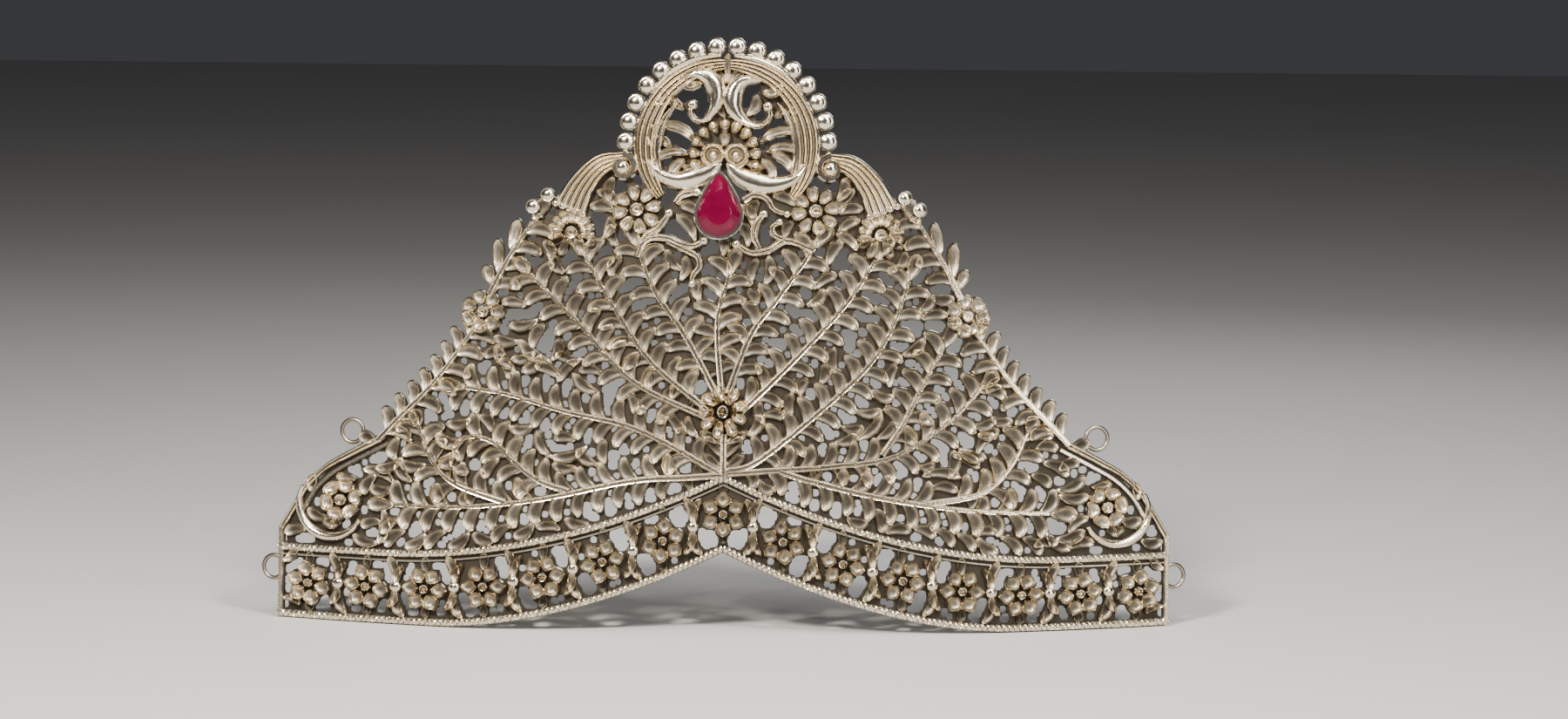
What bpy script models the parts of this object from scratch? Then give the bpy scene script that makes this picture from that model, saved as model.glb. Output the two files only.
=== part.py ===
"""An openwork silver crown frontlet: one pierced and chased sheet, bent to a forehead, with a
pear-shaped red stone in a bezel under its crest and four tie rings behind its edges.

The sheet is drawn flat in millimetres, u to the right and v up from the table, as ropes, fronds,
flowers, scrolls and beads. The outlines are joined, the gaps between them are the piercings, the
ribs are raised, and the sheet is bent round an upright cylinder and leant back. The front faces -Y.
"""

import heapq
import math

import bmesh
import bpy
import numpy as np
from mathutils import Matrix, Vector
from mathutils.geometry import delaunay_2d_cdt

MM = 0.001

# The sheet: its reach, its bend and its stance
HALF_WIDTH = 128.5
HEIGHT = 169.6
BEND_RADIUS = 381.0
LEAN = math.radians(7.0)
SHEET = 0.9

# The drawing of the fronds and scrolls was made at this size, and at() stretches it to the sheet's
DRAWN_HALF_WIDTH = 128.5
DRAWN_HEIGHT = 169.6

# The lower edge rests on the table from CONTACT outwards and rises to a notch at the centre
CONTACT = 82.0
NOTCH_RISE = 23.5
NOTCH_POWER = 1.75

# The two rope borders and the band of flowers between them
ROPE_WIDTH = 2.3
ROPE_HEIGHT = 1.8
ROPE_STEP = 6.0
BAND_HEIGHT = 20.3
UPPER_RISE = 24.4
UPPER_RUN = 95.0
UPPER_POWER = 1.9
BAND_PITCH = 17.0
BAND_FLOWER = 5.6
BAND_STEM = 1.7
RIM_WIDTH = 1.8

# Stems and leaves
STEM_WIDTH = 2.0
STEM_TIP_WIDTH = 1.1
STEM_HEIGHT = 1.9
LEAF_PITCH = 7.4
LEAF_WIDTH = 4.2
LEAF_LENGTH = 8.8
LEAF_LEAST = 3.4
LEAF_MOST = 10.0
LEAF_ANGLE = math.radians(50)
LEAF_HEIGHT = 1.6
EDGE_LEAF_COUNT = (6, 4)
EDGE_LEAF_LENGTH = 8.0
EDGE_LEAF_ANGLE = math.radians(40)

# The widest piercing left open in the field, from its middle to its edge
FIELD_VOID = 2.5
VOID_LEAF_WIDTH = 4.0

# The beaded crest
CREST_CENTRE_V = 138.4
CREST_RADIUS = 28.7
BEAD_RADIUS = 2.8
BEAD_COUNT = 16
BEAD_TURNS = (4.0, 177.0)
BEAD_HEIGHT = 2.7
CREST_RIM = 23.6
CREST_RIM_WIDTH = 5.2
CREST_LEAF_WIDTH = 4.4
VOLUTE_WIDTH = 2.7
COLLAR_WIDTH = 3.2
EYE_OUT = 3.2
EYE_V = 135.4
EYE_RADIUS = 3.3
PALMETTE = 9.6
PALMETTE_LOBES = 9
PALMETTE_LOBE_WIDTH = 3.2
SCROLL_HEIGHT = 2.1

# Flowers
CENTRE_FLOWER = 7.4
CORNER_FLOWER = 6.2
EDGE_FLOWER = 6.4
UPPER_FLOWER = 7.2
FLOWER_HEIGHT = 2.1

# The stone and its bezel stand on a flat pad of the sheet
STONE_U = -2.1
STONE_V = 119.3
STONE_RADIUS = 6.0
STONE_POINT = 11.2
STONE_HEIGHT = 4.4
GIRDLE_LOW = 1.4
GIRDLE_HIGH = 2.2
STONE_TABLE = 0.62
BEZEL_WALL = 0.6
BEZEL_HEIGHT = 2.3
PAD_MARGIN = 1.1
SEAT_GAP = 0.3

# The tie rings of round wire, soldered behind the edges
RING_RADIUS = 3.3
RING_WIRE = 0.6
RING_SEGMENTS = 14
WIRE_SEGMENTS = 6
# The upper ring's place on the drawing, and how far the lower ring's centre is off the side
RING_UPPER = (107.4, 56.6)
RING_LOWER_OUT = 2.1
RING_LOWER_V = 17.0

# How closely the outlines are followed
OUTLINE_STEP = 4.4
SCROLL_STEP = 2.8
LEAST_HOLE = 3.6
OUTLINE_POINTS = 1800
CREVICE_SHARE = 0.75
EDGE_CARE = 2.5
RIB_CLEAR = 0.4
RIB_APART = 2.7


def at(u, v):
    """A point of the drawing, stretched to the sheet's own width and height."""
    return (u * HALF_WIDTH / DRAWN_HALF_WIDTH, v * HEIGHT / DRAWN_HEIGHT)


def set_back(u):
    """How far the bend carries the sheet back from its foremost line."""
    return BEND_RADIUS - math.sqrt(BEND_RADIUS**2 - u * u)


def table_line(u):
    """The height on the sheet that meets the table once the sheet leans."""
    return set_back(u) * math.tan(LEAN)


def lower_edge(u):
    rise = max(0.0, 1 - abs(u) / CONTACT) ** NOTCH_POWER
    return table_line(u) + NOTCH_RISE * rise


def upper_edge(u):
    """The lower side of the upper rope."""
    rise = max(0.0, 1 - abs(u) / UPPER_RUN) ** UPPER_POWER
    return BAND_HEIGHT - ROPE_WIDTH / 2 + table_line(u) + UPPER_RISE * rise


def lower_rope(u):
    return lower_edge(u) + ROPE_WIDTH / 2


def upper_rope(u):
    return upper_edge(u) + ROPE_WIDTH / 2


def rests(point):
    """Whether a point of the outline is on the stretch that meets the table."""
    return abs(point[0]) > CONTACT - 0.01 and abs(point[1] - table_line(point[0])) < 0.02


def polar(centre, radius, angle):
    return (centre[0] + radius * math.cos(angle), centre[1] + radius * math.sin(angle))


def arc(centre, radius_from, radius_to, turn_from, turn_to, count):
    """Points on an arc or a spiral; the turns are in degrees, anticlockwise from the right."""
    points = []
    for i in range(count + 1):
        share = i / count
        radius = radius_from + (radius_to - radius_from) * share
        turn = math.radians(turn_from + (turn_to - turn_from) * share)
        points.append(polar(centre, radius, turn))
    return points


def smooth_path(controls, step):
    """Points a step apart on a smooth curve through the control points."""
    points = [Vector(p) for p in controls]
    ends = [2 * points[0] - points[1], *points, 2 * points[-1] - points[-2]]
    fine = []
    for a, b, c, d in zip(ends, ends[1:], ends[2:], ends[3:]):
        for i in range(12):
            t = i / 12
            bend = 2 * b + (c - a) * t
            bend += (2 * a - 5 * b + 4 * c - d) * t * t + (3 * b - a - 3 * c + d) * t**3
            fine.append(bend / 2)
    fine.append(points[-1])
    length = sum((q - p).length for p, q in zip(fine, fine[1:]))
    count = max(2, round(length / step))
    path = [tuple(fine[0])]
    walked = 0.0
    for p, q in zip(fine, fine[1:]):
        span = (q - p).length
        while len(path) < count and walked + span >= length * len(path) / count:
            share = (length * len(path) / count - walked) / span
            path.append(tuple(p.lerp(q, share)))
        walked += span
    return path + [tuple(points[-1])]


def mirrored(points):
    return [(-u, v) for u, v in points]


def walked_round(outline, step):
    """Points at most a step apart round a closed outline."""
    for a, b in zip(outline, [*outline[1:], outline[0]]):
        count = max(1, math.ceil(math.dist(a, b) / step))
        for i in range(count):
            yield (a[0] + (b[0] - a[0]) * i / count, a[1] + (b[1] - a[1]) * i / count)


def grid_points(field, step):
    """The points of a square grid that lie inside a closed outline."""
    corners = np.array(field)
    after = np.roll(corners, -1, axis=0)
    low, high = corners.min(0), corners.max(0)
    for v in np.arange(low[1], high[1], step):
        crossed = (corners[:, 1] <= v) != (after[:, 1] <= v)
        start, end = corners[crossed], after[crossed]
        along = end - start
        where = np.sort(start[:, 0] + (v - start[:, 1]) / along[:, 1] * along[:, 0])
        for a, b in zip(where[::2], where[1::2]):
            for u in np.arange(math.ceil(a / step) * step, b, step):
                yield (float(u), float(v))


class Drawing:
    """The flat drawing: closed outlines, the rib points that stand up from them, and the spines
    that leaves grow out to."""

    def __init__(self):
        self.outlines = []
        self.ribs = []
        self.spines = []

    def outline(self, points):
        area = sum(a[0] * b[1] - b[0] * a[1] for a, b in zip(points, [*points[1:], points[0]]))
        self.outlines.append(list(points) if area > 0 else list(points)[::-1])

    def rib(self, points, height):
        self.ribs.append([(u, v, height) for u, v in points])

    def disc(self, centre, radius, height, sides=8, shoulder=0.62):
        """A round boss: an outline, a shoulder ring of rib points and a top point."""
        turns = [2 * math.pi * i / sides for i in range(sides)]
        self.outline([polar(centre, radius, a) for a in turns])
        if shoulder:
            ring = [polar(centre, radius * shoulder, a) for a in turns]
            self.rib([*ring, ring[0]], SHEET + (height - SHEET) * 0.8)
        self.rib([centre], height)

    def ribbon(self, path, width, end_width, height, spine=True):
        """A raised band along a path, with a rib along its middle."""
        count = len(path) - 1
        sides = []
        for i, (u, v) in enumerate(path):
            before, after = path[max(i - 1, 0)], path[min(i + 1, count)]
            along = Vector((after[0] - before[0], after[1] - before[1])).normalized()
            side = Vector((-along.y, along.x)) * (width + (end_width - width) * i / count) / 2
            sides.append(((u + side.x, v + side.y), (u - side.x, v - side.y)))
        for (a, b), (c, d) in zip(sides, sides[1:]):
            self.outline([a, b, d, c])
        self.rib(path, height)
        if spine:
            self.spines.append((np.array(path), max(width, end_width) / 2))

    def leaf(self, base, angle, length, width, height=LEAF_HEIGHT, bend=0.25):
        """A pointed leaf that curves to one side, with a midrib."""

        def point(share, off):
            turn = angle + bend * share
            return (
                base[0] + length * share * math.cos(turn) - off * math.sin(turn),
                base[1] + length * share * math.sin(turn) + off * math.cos(turn),
            )

        half = width / 2
        left = [point(0, half * 0.4), point(0.5, half)]
        right = [point(0.5, -half), point(0, -half * 0.4)]
        self.outline([*right[::-1], point(1, 0), *left[::-1]])
        self.rib([point(0.45, 0)], height)

    def room(self, point, own):
        """The distance from a point to the nearest spine other than its own."""
        nearest = 99.0
        for i, (points, half) in enumerate(self.spines):
            if i != own:
                nearest = min(nearest, float(np.hypot(*(points - point).T).min()) - half)
        return nearest

    def grown(self, base, angle, own, most, bend):
        """A leaf's length: out to the next spine, or its usual length where none is near."""
        length = LEAF_LEAST
        while length < most:
            if self.room(polar(base, length, angle + bend), own) < 0.35:
                return length
            length += 0.5
        return min(most, LEAF_LENGTH) if most <= LEAF_MOST else most

    def leaves(self, own, start=0.0, sides=(1, -1), most=LEAF_MOST, pitch=LEAF_PITCH):
        """Leaves in pairs along a spine, pointing forward, and one more at its tip."""
        path = self.spines[own][0]
        steps = np.hypot(*(path[1:] - path[:-1]).T)
        walked = np.concatenate([[0.0], np.cumsum(steps)])
        place = max(start, 2.0)
        while place < walked[-1] - 1.5:
            i = min(int(np.searchsorted(walked, place)) - 1, len(steps) - 1)
            share = (place - walked[i]) / steps[i]
            base = tuple(path[i] + (path[i + 1] - path[i]) * share)
            along = math.atan2(*(path[i + 1] - path[i])[::-1])
            for side in sides:
                angle = along + side * LEAF_ANGLE
                bend = -0.3 * side
                length = self.grown(base, angle, own, most, bend)
                if length > LEAF_LEAST:
                    self.leaf(base, angle, length, LEAF_WIDTH, bend=bend)
            place += pitch
        end = math.atan2(*(path[-1] - path[-2])[::-1])
        length = self.grown(tuple(path[-1]), end, own, LEAF_LENGTH, 0.0)
        self.leaf(tuple(path[-1] - (path[-1] - path[-2]) * 0.4), end, length, LEAF_WIDTH, bend=0.0)

    def fill_voids(self, field, widest, width):
        """Grows leaves across the widest gaps of a field, until no gap is wider than asked."""
        inner = [p for p in grid_points(field, 1.3)]
        spots = np.array(inner)
        drawn = np.array([p for outline in self.outlines for p in walked_round(outline, 0.9)])
        room = np.full(len(spots), 99.0)
        for start in range(0, len(drawn), 400):
            part = drawn[start : start + 400]
            apart = np.hypot(*(spots[:, None, :] - part[None]).transpose(2, 0, 1))
            room = np.minimum(room, apart.min(1))
        for _ in range(400):
            k = int(room.argmax())
            if room[k] < widest:
                break
            centre = spots[k]
            best = None
            for i in range(16):
                angle = 2 * math.pi * i / 16
                along = np.array((math.cos(angle), math.sin(angle)))
                offsets = drawn - centre
                ahead = offsets @ along
                across = np.abs(offsets[:, 0] * along[1] - offsets[:, 1] * along[0])
                front = ahead[(ahead > 0) & (across < 0.6)]
                back = -ahead[(ahead < 0) & (across < 0.6)]
                if len(front) == 0 or len(back) == 0:
                    continue
                reach = front.min() + back.min()
                outward = along @ (centre - np.array(FAN_ROOT))
                score = abs(reach - LEAF_LENGTH) + (0.0 if outward > 0 else 4.0)
                if best is None or score < best[0]:
                    best = (score, angle, back.min(), reach)
            if best is None:
                room[k] = 0.0
                continue
            _, angle, behind, reach = best
            base = polar(centre, -behind - 0.5, angle)
            self.leaf(base, angle, reach + 1.0, width, bend=0.0)
            leaf = np.array(list(walked_round(self.outlines[-1], 0.9)))
            drawn = np.concatenate([drawn, leaf])
            apart = np.hypot(*(spots[:, None, :] - leaf[None]).transpose(2, 0, 1))
            room = np.minimum(room, apart.min(1))
            room[k] = min(room[k], widest * 0.9)

    def flower(self, centre, radius, petals, turn=0.0, width=0.78, stretch=1.0, span=360.0):
        """A flower of pointed petals round a boss; a span under 360 degrees gives a fan."""
        whole = span >= 360.0
        gap = span / (petals if whole else petals - 1)
        for i in range(petals):
            angle = math.radians(turn + gap * i)
            reach = radius * (1 + (stretch - 1) * abs(math.sin(angle)))
            petal_width = width * math.radians(gap) * radius
            self.leaf(polar(centre, radius * 0.2, angle), angle, reach - radius * 0.2, petal_width, bend=0.0)
        self.disc(centre, radius * 0.33, FLOWER_HEIGHT, sides=6, shoulder=0.0)


# The rim of the right corner lobe, above the plain side end
LOBE_FOOT_V = 28.4
LOBE_RIM = [(123.8, 34.5), (119.6, 41.2), (114.2, 46.2), (107.5, 50.0), (98.4, 54.7)]


def draw_borders(drawing):
    """The lower and upper ropes, the plain side ends and the rim of the corner lobes."""
    inner = round(CONTACT / ROPE_STEP)
    outer = round((HALF_WIDTH - CONTACT) / ROPE_STEP)
    half = [CONTACT * i / inner for i in range(inner)]
    half += [CONTACT + (HALF_WIDTH - CONTACT) * i / outer for i in range(outer + 1)]
    across = [*[-u for u in half[:0:-1]], *half]
    for edge in (lower_edge, upper_edge):
        for a, b in zip(across, across[1:]):
            high = [(u, edge(u) + ROPE_WIDTH) for u in (b, a)]
            drawing.outline([(a, edge(a)), (b, edge(b)), *high])
        middle = [(u, edge(u) + ROPE_WIDTH / 2) for u in across]
        drawing.rib(middle, ROPE_HEIGHT)
        drawing.spines.append((np.array(middle), ROPE_WIDTH / 2))
    side = HALF_WIDTH - RIM_WIDTH / 2
    foot = lower_edge(side)
    top = at(0, LOBE_FOOT_V)[1]
    for sign in (1, -1):
        end = [(sign * side, foot), (sign * side, (foot + top) / 2), (sign * side, top)]
        drawing.ribbon(end, RIM_WIDTH, RIM_WIDTH, ROPE_HEIGHT)
        rim = [end[-1], *[at(sign * u, v) for u, v in LOBE_RIM]]
        drawing.ribbon(smooth_path(rim, OUTLINE_STEP), RIM_WIDTH, STEM_WIDTH, ROPE_HEIGHT)


def draw_band(drawing):
    """The flowers between the ropes, joined by a stem, with a slanting pair of buds in each gap."""
    count = int((HALF_WIDTH - BAND_FLOWER) / BAND_PITCH)

    def middle(u):
        return (lower_rope(u) + upper_rope(u)) / 2

    for i in range(-count, count + 1):
        u = i * BAND_PITCH
        drawing.flower((u, middle(u)), BAND_FLOWER, 6, turn=30 + 8 * i, width=0.7)
    for i in range(-count, count):
        sign = 1 if i >= 0 else -1
        start = i * BAND_PITCH + BAND_FLOWER * 0.8
        end = (i + 1) * BAND_PITCH - BAND_FLOWER * 0.8
        link = (start + end) / 2
        run = [(u, middle(u)) for u in (start, link, end)]
        drawing.ribbon(run, BAND_STEM, BAND_STEM, LEAF_HEIGHT, spine=False)
        for up in (1, -1):
            tip_line = upper_rope if up > 0 else lower_rope
            tip = (link + sign * up * 2.4, tip_line(link + sign * up * 2.4))
            base = (link - sign * up * 0.6, middle(link))
            angle = math.atan2(tip[1] - base[1], tip[0] - base[0])
            drawing.leaf(base, angle, math.dist(base, tip), 4.0, bend=0.0)
    for i in range(-count, count + 1):
        u = i * BAND_PITCH
        for up in (1, -1):
            tip_line = upper_rope if up > 0 else lower_rope
            start = (u, middle(u) + up * BAND_FLOWER * 0.7)
            drawing.leaf(start, up * math.pi / 2, abs(tip_line(u) - start[1]), 2.6, bend=0.0)


# The stems of the fan of fronds, each from its root to its tip, on the drawing
STEMS = [
    [(-4.3, 44.8), (-26.3, 43.4), (-52.5, 37.8), (-74.5, 35.3), (-93.8, 35.6)],
    [(-43.8, 40.2), (-52.5, 43.2), (-59.5, 48.4), (-65.5, 54.0), (-73.0, 55.4)],
    [(-62.0, 36.8), (-76.3, 41.8), (-83.3, 48.5), (-87.0, 58.0)],
    [(-1.3, 45.8), (-15.5, 53.8), (-28.3, 59.3), (-45.3, 63.0), (-61.3, 67.6), (-73.5, 69.5)],
    [(-7.3, 60.8), (-25.5, 71.5), (-40.3, 86.8), (-55.5, 102.0)],
    [(-5.0, 64.0), (-20.5, 77.0), (-31.0, 92.0), (-39.8, 107.0)],
    [(-2.0, 68.0), (-11.0, 84.5), (-20.0, 97.5), (-25.0, 110.0)],
    [(-0.8, 69.0), (-2.0, 83.0), (-1.8, 92.0), (1.0, 102.0)],
    [(1.0, 68.5), (7.2, 85.0), (14.4, 95.0), (25.0, 110.0)],
    [(5.0, 63.5), (18.5, 77.0), (34.0, 94.0), (42.5, 107.0)],
    [(7.0, 46.8), (25.5, 62.3), (40.0, 76.0), (47.0, 87.0), (52.0, 101.0)],
    [(44.8, 51.4), (50.5, 60.0), (55.5, 70.0), (62.0, 82.0)],
    [(7.0, 45.8), (30.0, 48.0), (48.3, 51.0), (64.0, 61.0), (73.0, 70.5)],
    [(58.0, 37.6), (73.8, 40.8), (81.8, 48.3), (86.5, 58.0)],
    [(4.3, 45.0), (25.5, 43.6), (46.0, 39.0), (70.0, 35.8), (93.0, 35.0)],
]
# The stem of the leafy side edges, below and above its flower, on the right side of the drawing
EDGE_STEM = [(98.4, 54.7), (92.0, 61.4), (85.0, 68.4), (79.5, 74.9), (74.5, 82.0), (71.5, 86.0)]
EDGE_TOP_STEM = [(67.0, 96.0), (62.7, 104.5), (58.6, 111.0), (55.0, 117.0)]
EDGE_FLOWER_AT = (69.0, 91.2)
# The leaves that fill the gaps point away from here
FAN_ROOT = (0.0, 46.0)


def draw_fronds(drawing):
    """The fan of fronds that fills the field, and the leafy side edges."""
    first = len(drawing.spines)
    for stem in STEMS:
        path = smooth_path([at(*p) for p in stem], OUTLINE_STEP)
        drawing.ribbon(path, STEM_WIDTH, STEM_TIP_WIDTH, STEM_HEIGHT)
    edges = []
    for sign in (1, -1):
        for stem in (EDGE_STEM, EDGE_TOP_STEM):
            edges.append(len(drawing.spines))
            path = smooth_path([at(sign * u, v) for u, v in stem], OUTLINE_STEP)
            drawing.ribbon(path, STEM_WIDTH, STEM_WIDTH * 0.8, STEM_HEIGHT)
        drawing.flower(at(sign * EDGE_FLOWER_AT[0], EDGE_FLOWER_AT[1]), EDGE_FLOWER, 7)
    for own in range(first, first + len(STEMS)):
        drawing.leaves(own, start=6.0)
    for i, own in enumerate(edges):
        outer = -1 if i < 2 else 1
        path, _ = drawing.spines[own]
        for k in range(int(EDGE_LEAF_COUNT[i % 2])):
            share = (k + 0.5) / EDGE_LEAF_COUNT[i % 2] * (len(path) - 1)
            base = path[int(share)] + (path[int(share) + 1] - path[int(share)]) * (share - int(share))
            along = path[int(share) + 1] - path[int(share)]
            angle = math.atan2(along[1], along[0]) + outer * EDGE_LEAF_ANGLE
            drawing.leaf(tuple(base), angle, EDGE_LEAF_LENGTH, LEAF_WIDTH * 1.15, bend=-0.3 * outer)
        drawing.leaves(own, sides=(-outer,))
    for sign in (1, -1):
        lug = at(sign * 99.5, 53.6)
        ring = at(sign * RING_UPPER[0], RING_UPPER[1])
        angle = math.atan2(ring[1] - lug[1], ring[0] - lug[0])
        drawing.leaf(lug, angle, math.dist(lug, ring) - RING_RADIUS + RING_WIRE, 4.4, bend=0.0)


# The leaves round the right corner flower: each direction in degrees and its length
CORNER_LEAVES = [(150, 9), (110, 10), (75, 9), (35, 9), (-10, 10), (-60, 9), (-110, 9), (185, 8)]


def draw_corners(drawing):
    """A round flower in each corner lobe, with a C-scroll round it."""
    for sign in (1, -1):
        centre = at(sign * 108.0, 36.2)
        for i in range(6):
            petal = polar(centre, CORNER_FLOWER * 0.6, math.radians(60 * i))
            drawing.disc(petal, CORNER_FLOWER * 0.4, LEAF_HEIGHT, sides=6, shoulder=0.0)
        drawing.disc(centre, CORNER_FLOWER * 0.34, FLOWER_HEIGHT, sides=6, shoulder=0.0)
        scroll = arc(centre, 11.6, 9.0, 20, -150, 9)
        scroll = scroll if sign > 0 else [(2 * centre[0] - u, v) for u, v in scroll]
        drawing.ribbon(scroll, 2.6, 1.4, SCROLL_HEIGHT, spine=False)
        for turn, length in CORNER_LEAVES:
            angle = math.radians(turn if sign > 0 else 180 - turn)
            drawing.leaf(polar(centre, CORNER_FLOWER * 0.8, angle), angle, length, 3.2)


# The crest's inner scrolls on the drawing: the two volutes and the two halves of the collar
VOLUTES = [
    [(-14.3, 158.2), (-9.5, 159.6), (-4.4, 158.6), (-1.6, 153.4), (-3.4, 146.6), (-8, 145.4), (-10.6, 149)],
    [(14.4, 157.7), (7.6, 158.4), (2.6, 156.2), (1.4, 150.6), (4.4, 145.4), (9.0, 144.6), (11.6, 148.6)],
]
COLLARS = [
    [(-1.2, 133.0), (-4.4, 130.0), (-9.6, 127.3), (-16.7, 127.5), (-23.6, 132.0)],
    [(0.6, 133.0), (3.0, 129.8), (7.6, 127.0), (16.0, 127.0), (23.8, 132.0)],
]
# The curling leaves inside the crest: each root, first direction, length and bend in degrees
CREST_LEAVES = [
    ((-20.5, 149.6), 45, 8.5, -50),
    ((-21.0, 143.4), 32, 10.0, -46),
    ((-20.5, 134.6), 78, 8.0, -36),
    ((-14.0, 128.6), 105, 7.0, -34),
    ((-14.0, 158.0), -70, 6.0, 40),
    ((20.6, 147.6), 135, 7.6, 45),
    ((21.2, 141.4), 130, 9.5, 46),
    ((20.2, 134.0), 100, 8.0, 36),
    ((13.4, 128.4), 72, 7.4, 34),
    ((15.5, 156.6), -105, 6.0, -40),
]


def draw_crest(drawing):
    """The round crest: beads, a fluted rim of two C-scrolls, volutes, a palmette and a collar."""
    centre = at(0, CREST_CENTRE_V)
    for bead in arc(centre, CREST_RADIUS, CREST_RADIUS, *BEAD_TURNS, BEAD_COUNT - 1):
        drawing.disc(bead, BEAD_RADIUS, BEAD_HEIGHT)
    for sign in (1, -1):
        rim = arc(centre, CREST_RIM, CREST_RIM, 90 - sign * 118, 90, 13)
        drawing.ribbon(rim, CREST_RIM_WIDTH, CREST_RIM_WIDTH, SCROLL_HEIGHT, spine=False)
        drawing.disc(at(sign * EYE_OUT, EYE_V), EYE_RADIUS, SCROLL_HEIGHT, sides=8)
    for volute, collar in zip(VOLUTES, COLLARS):
        path = smooth_path([at(*p) for p in volute], SCROLL_STEP)
        drawing.ribbon(path, VOLUTE_WIDTH, VOLUTE_WIDTH * 0.7, SCROLL_HEIGHT, spine=False)
        drawing.disc(path[-1], VOLUTE_WIDTH * 0.6, SCROLL_HEIGHT, sides=6, shoulder=0.0)
        path = smooth_path([at(*p) for p in collar], SCROLL_STEP)
        drawing.ribbon(path, COLLAR_WIDTH, COLLAR_WIDTH * 0.7, SCROLL_HEIGHT)
    for root, turn, length, bend in CREST_LEAVES:
        drawing.leaf(at(*root), math.radians(turn), length, CREST_LEAF_WIDTH, bend=math.radians(bend))
    for turn, length in ((90, 8.0), (60, 7.0), (120, 7.0)):
        drawing.leaf(at(0, 157), math.radians(turn), length, CREST_LEAF_WIDTH, bend=0.0)
    heart = at(-0.6, EYE_V)
    for i in range(PALMETTE_LOBES):
        turn = math.radians(180 * i / (PALMETTE_LOBES - 1))
        root = polar(heart, EYE_RADIUS, turn)
        drawing.leaf(root, turn, PALMETTE - EYE_RADIUS, PALMETTE_LOBE_WIDTH, height=SCROLL_HEIGHT, bend=0.0)


# The flutes of the right shoulder shell: each root and its direction in degrees
SHELL_FLUTES = [(29, 135, -84), (33, 136, -74), (37.5, 135, -66), (41.5, 132, -62), (45, 128.5, -72)]


def draw_shoulders(drawing):
    """The fluted shell scrolls beside the crest, and the flowers and sprays round the stone."""
    for sign in (1, -1):
        shell = [(25.0, 134.0), (33.0, 137.0), (40.0, 134.6), (45.0, 129.4), (47.5, 123.5)]
        path = smooth_path([at(sign * u, v) for u, v in shell], SCROLL_STEP)
        drawing.ribbon(path, 3.2, 2.2, SCROLL_HEIGHT)
        for u, v, turn in SHELL_FLUTES:
            angle = math.radians(turn if sign > 0 else 180 - turn)
            drawing.leaf(at(sign * u, v), angle, 11.5, 3.6, height=SCROLL_HEIGHT, bend=-0.35 * sign)
        for u, v in ((55.0, 121.3), (50.6, 124.4)):
            drawing.disc(at(sign * u, v), 2.1, LEAF_HEIGHT + 0.3, sides=7, shoulder=0.0)
        drawing.flower(at(sign * 25.3, 120.6), UPPER_FLOWER, 8, turn=10)
        drawing.flower(at(sign * 44.0, 115.8), UPPER_FLOWER, 7, turn=0, span=180)
        drawing.ribbon([at(sign * u, 115.6) for u in (36.5, 44.0, 52.5)], 2.2, 2.2, LEAF_HEIGHT)
        spray = [(4.0, 106.0), (9.0, 110.5), (14.0, 114.5), (16.8, 121.0), (12.6, 125.4)]
        path = smooth_path([at(sign * u, v) for u, v in spray], SCROLL_STEP)
        drawing.ribbon(path, 2.6, 2.0, SCROLL_HEIGHT)
        drawing.leaves(len(drawing.spines) - 1, pitch=4.2, most=6.5)
        runner = [(14.0, 112.6), (25.0, 111.0), (36.0, 112.6), (48.0, 110.5), (57.0, 113.0)]
        path = smooth_path([at(sign * u, v) for u, v in runner], OUTLINE_STEP)
        drawing.ribbon(path, 1.6, 1.6, LEAF_HEIGHT)
        drawing.leaves(len(drawing.spines) - 1, most=6.5)


def pear(radius, point, count=20):
    """A pear outline round the stone's centre: a circle below drawn up to a point above."""
    centre = at(STONE_U, STONE_V)
    points = []
    for i in range(count):
        turn = 2 * math.pi * i / count
        pull = max(0.0, math.cos(turn)) ** 3
        across = radius * math.sin(turn) * (1 - 0.3 * pull)
        along = radius * math.cos(turn) + (point - radius) * pull
        points.append((centre[0] - across, centre[1] + along))
    return points


def field_outline():
    """The closed outline of the whole field above the upper rope, inside its edges."""
    side = [(HALF_WIDTH - RIM_WIDTH, 28.4), (119.6, 41.2), (107.5, 50.0), *EDGE_STEM, *EDGE_TOP_STEM]
    right = [at(*p) for p in [*side, (48.0, 124.0), (38.0, 133.0), (27.0, 133.0)]]
    centre = at(0, CREST_CENTRE_V)
    crest = arc(centre, CREST_RIM, CREST_RIM, -10, 190, 24)
    rope = [(u, upper_rope(u)) for u in np.linspace(-HALF_WIDTH + RIM_WIDTH, HALF_WIDTH - RIM_WIDTH, 40)]
    return [*rope, *right, *crest, *mirrored(right)[::-1]]


def draw_centre(drawing):
    """The large flower in the middle, the sprigs under it and the pad under the stone."""
    centre = at(-0.4, 63.4)
    drawing.flower(centre, CENTRE_FLOWER, 10, turn=18, stretch=1.15, width=0.95)
    drawing.ribbon([at(0, 45.0), at(0, 50.5), at(0, 56.0)], STEM_WIDTH, STEM_WIDTH, STEM_HEIGHT)
    for sign in (1, -1):
        for v, turn, length in ((46.5, 40, 8.0), (50.0, 52, 8.5), (54.0, 30, 8.0)):
            angle = math.radians(turn if sign > 0 else 180 - turn)
            drawing.leaf(at(0, v), angle, length, 3.4, bend=0.0)
    margin = BEZEL_WALL + SEAT_GAP + PAD_MARGIN
    drawing.outline(pear(STONE_RADIUS + margin, STONE_POINT + margin, 12))


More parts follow.
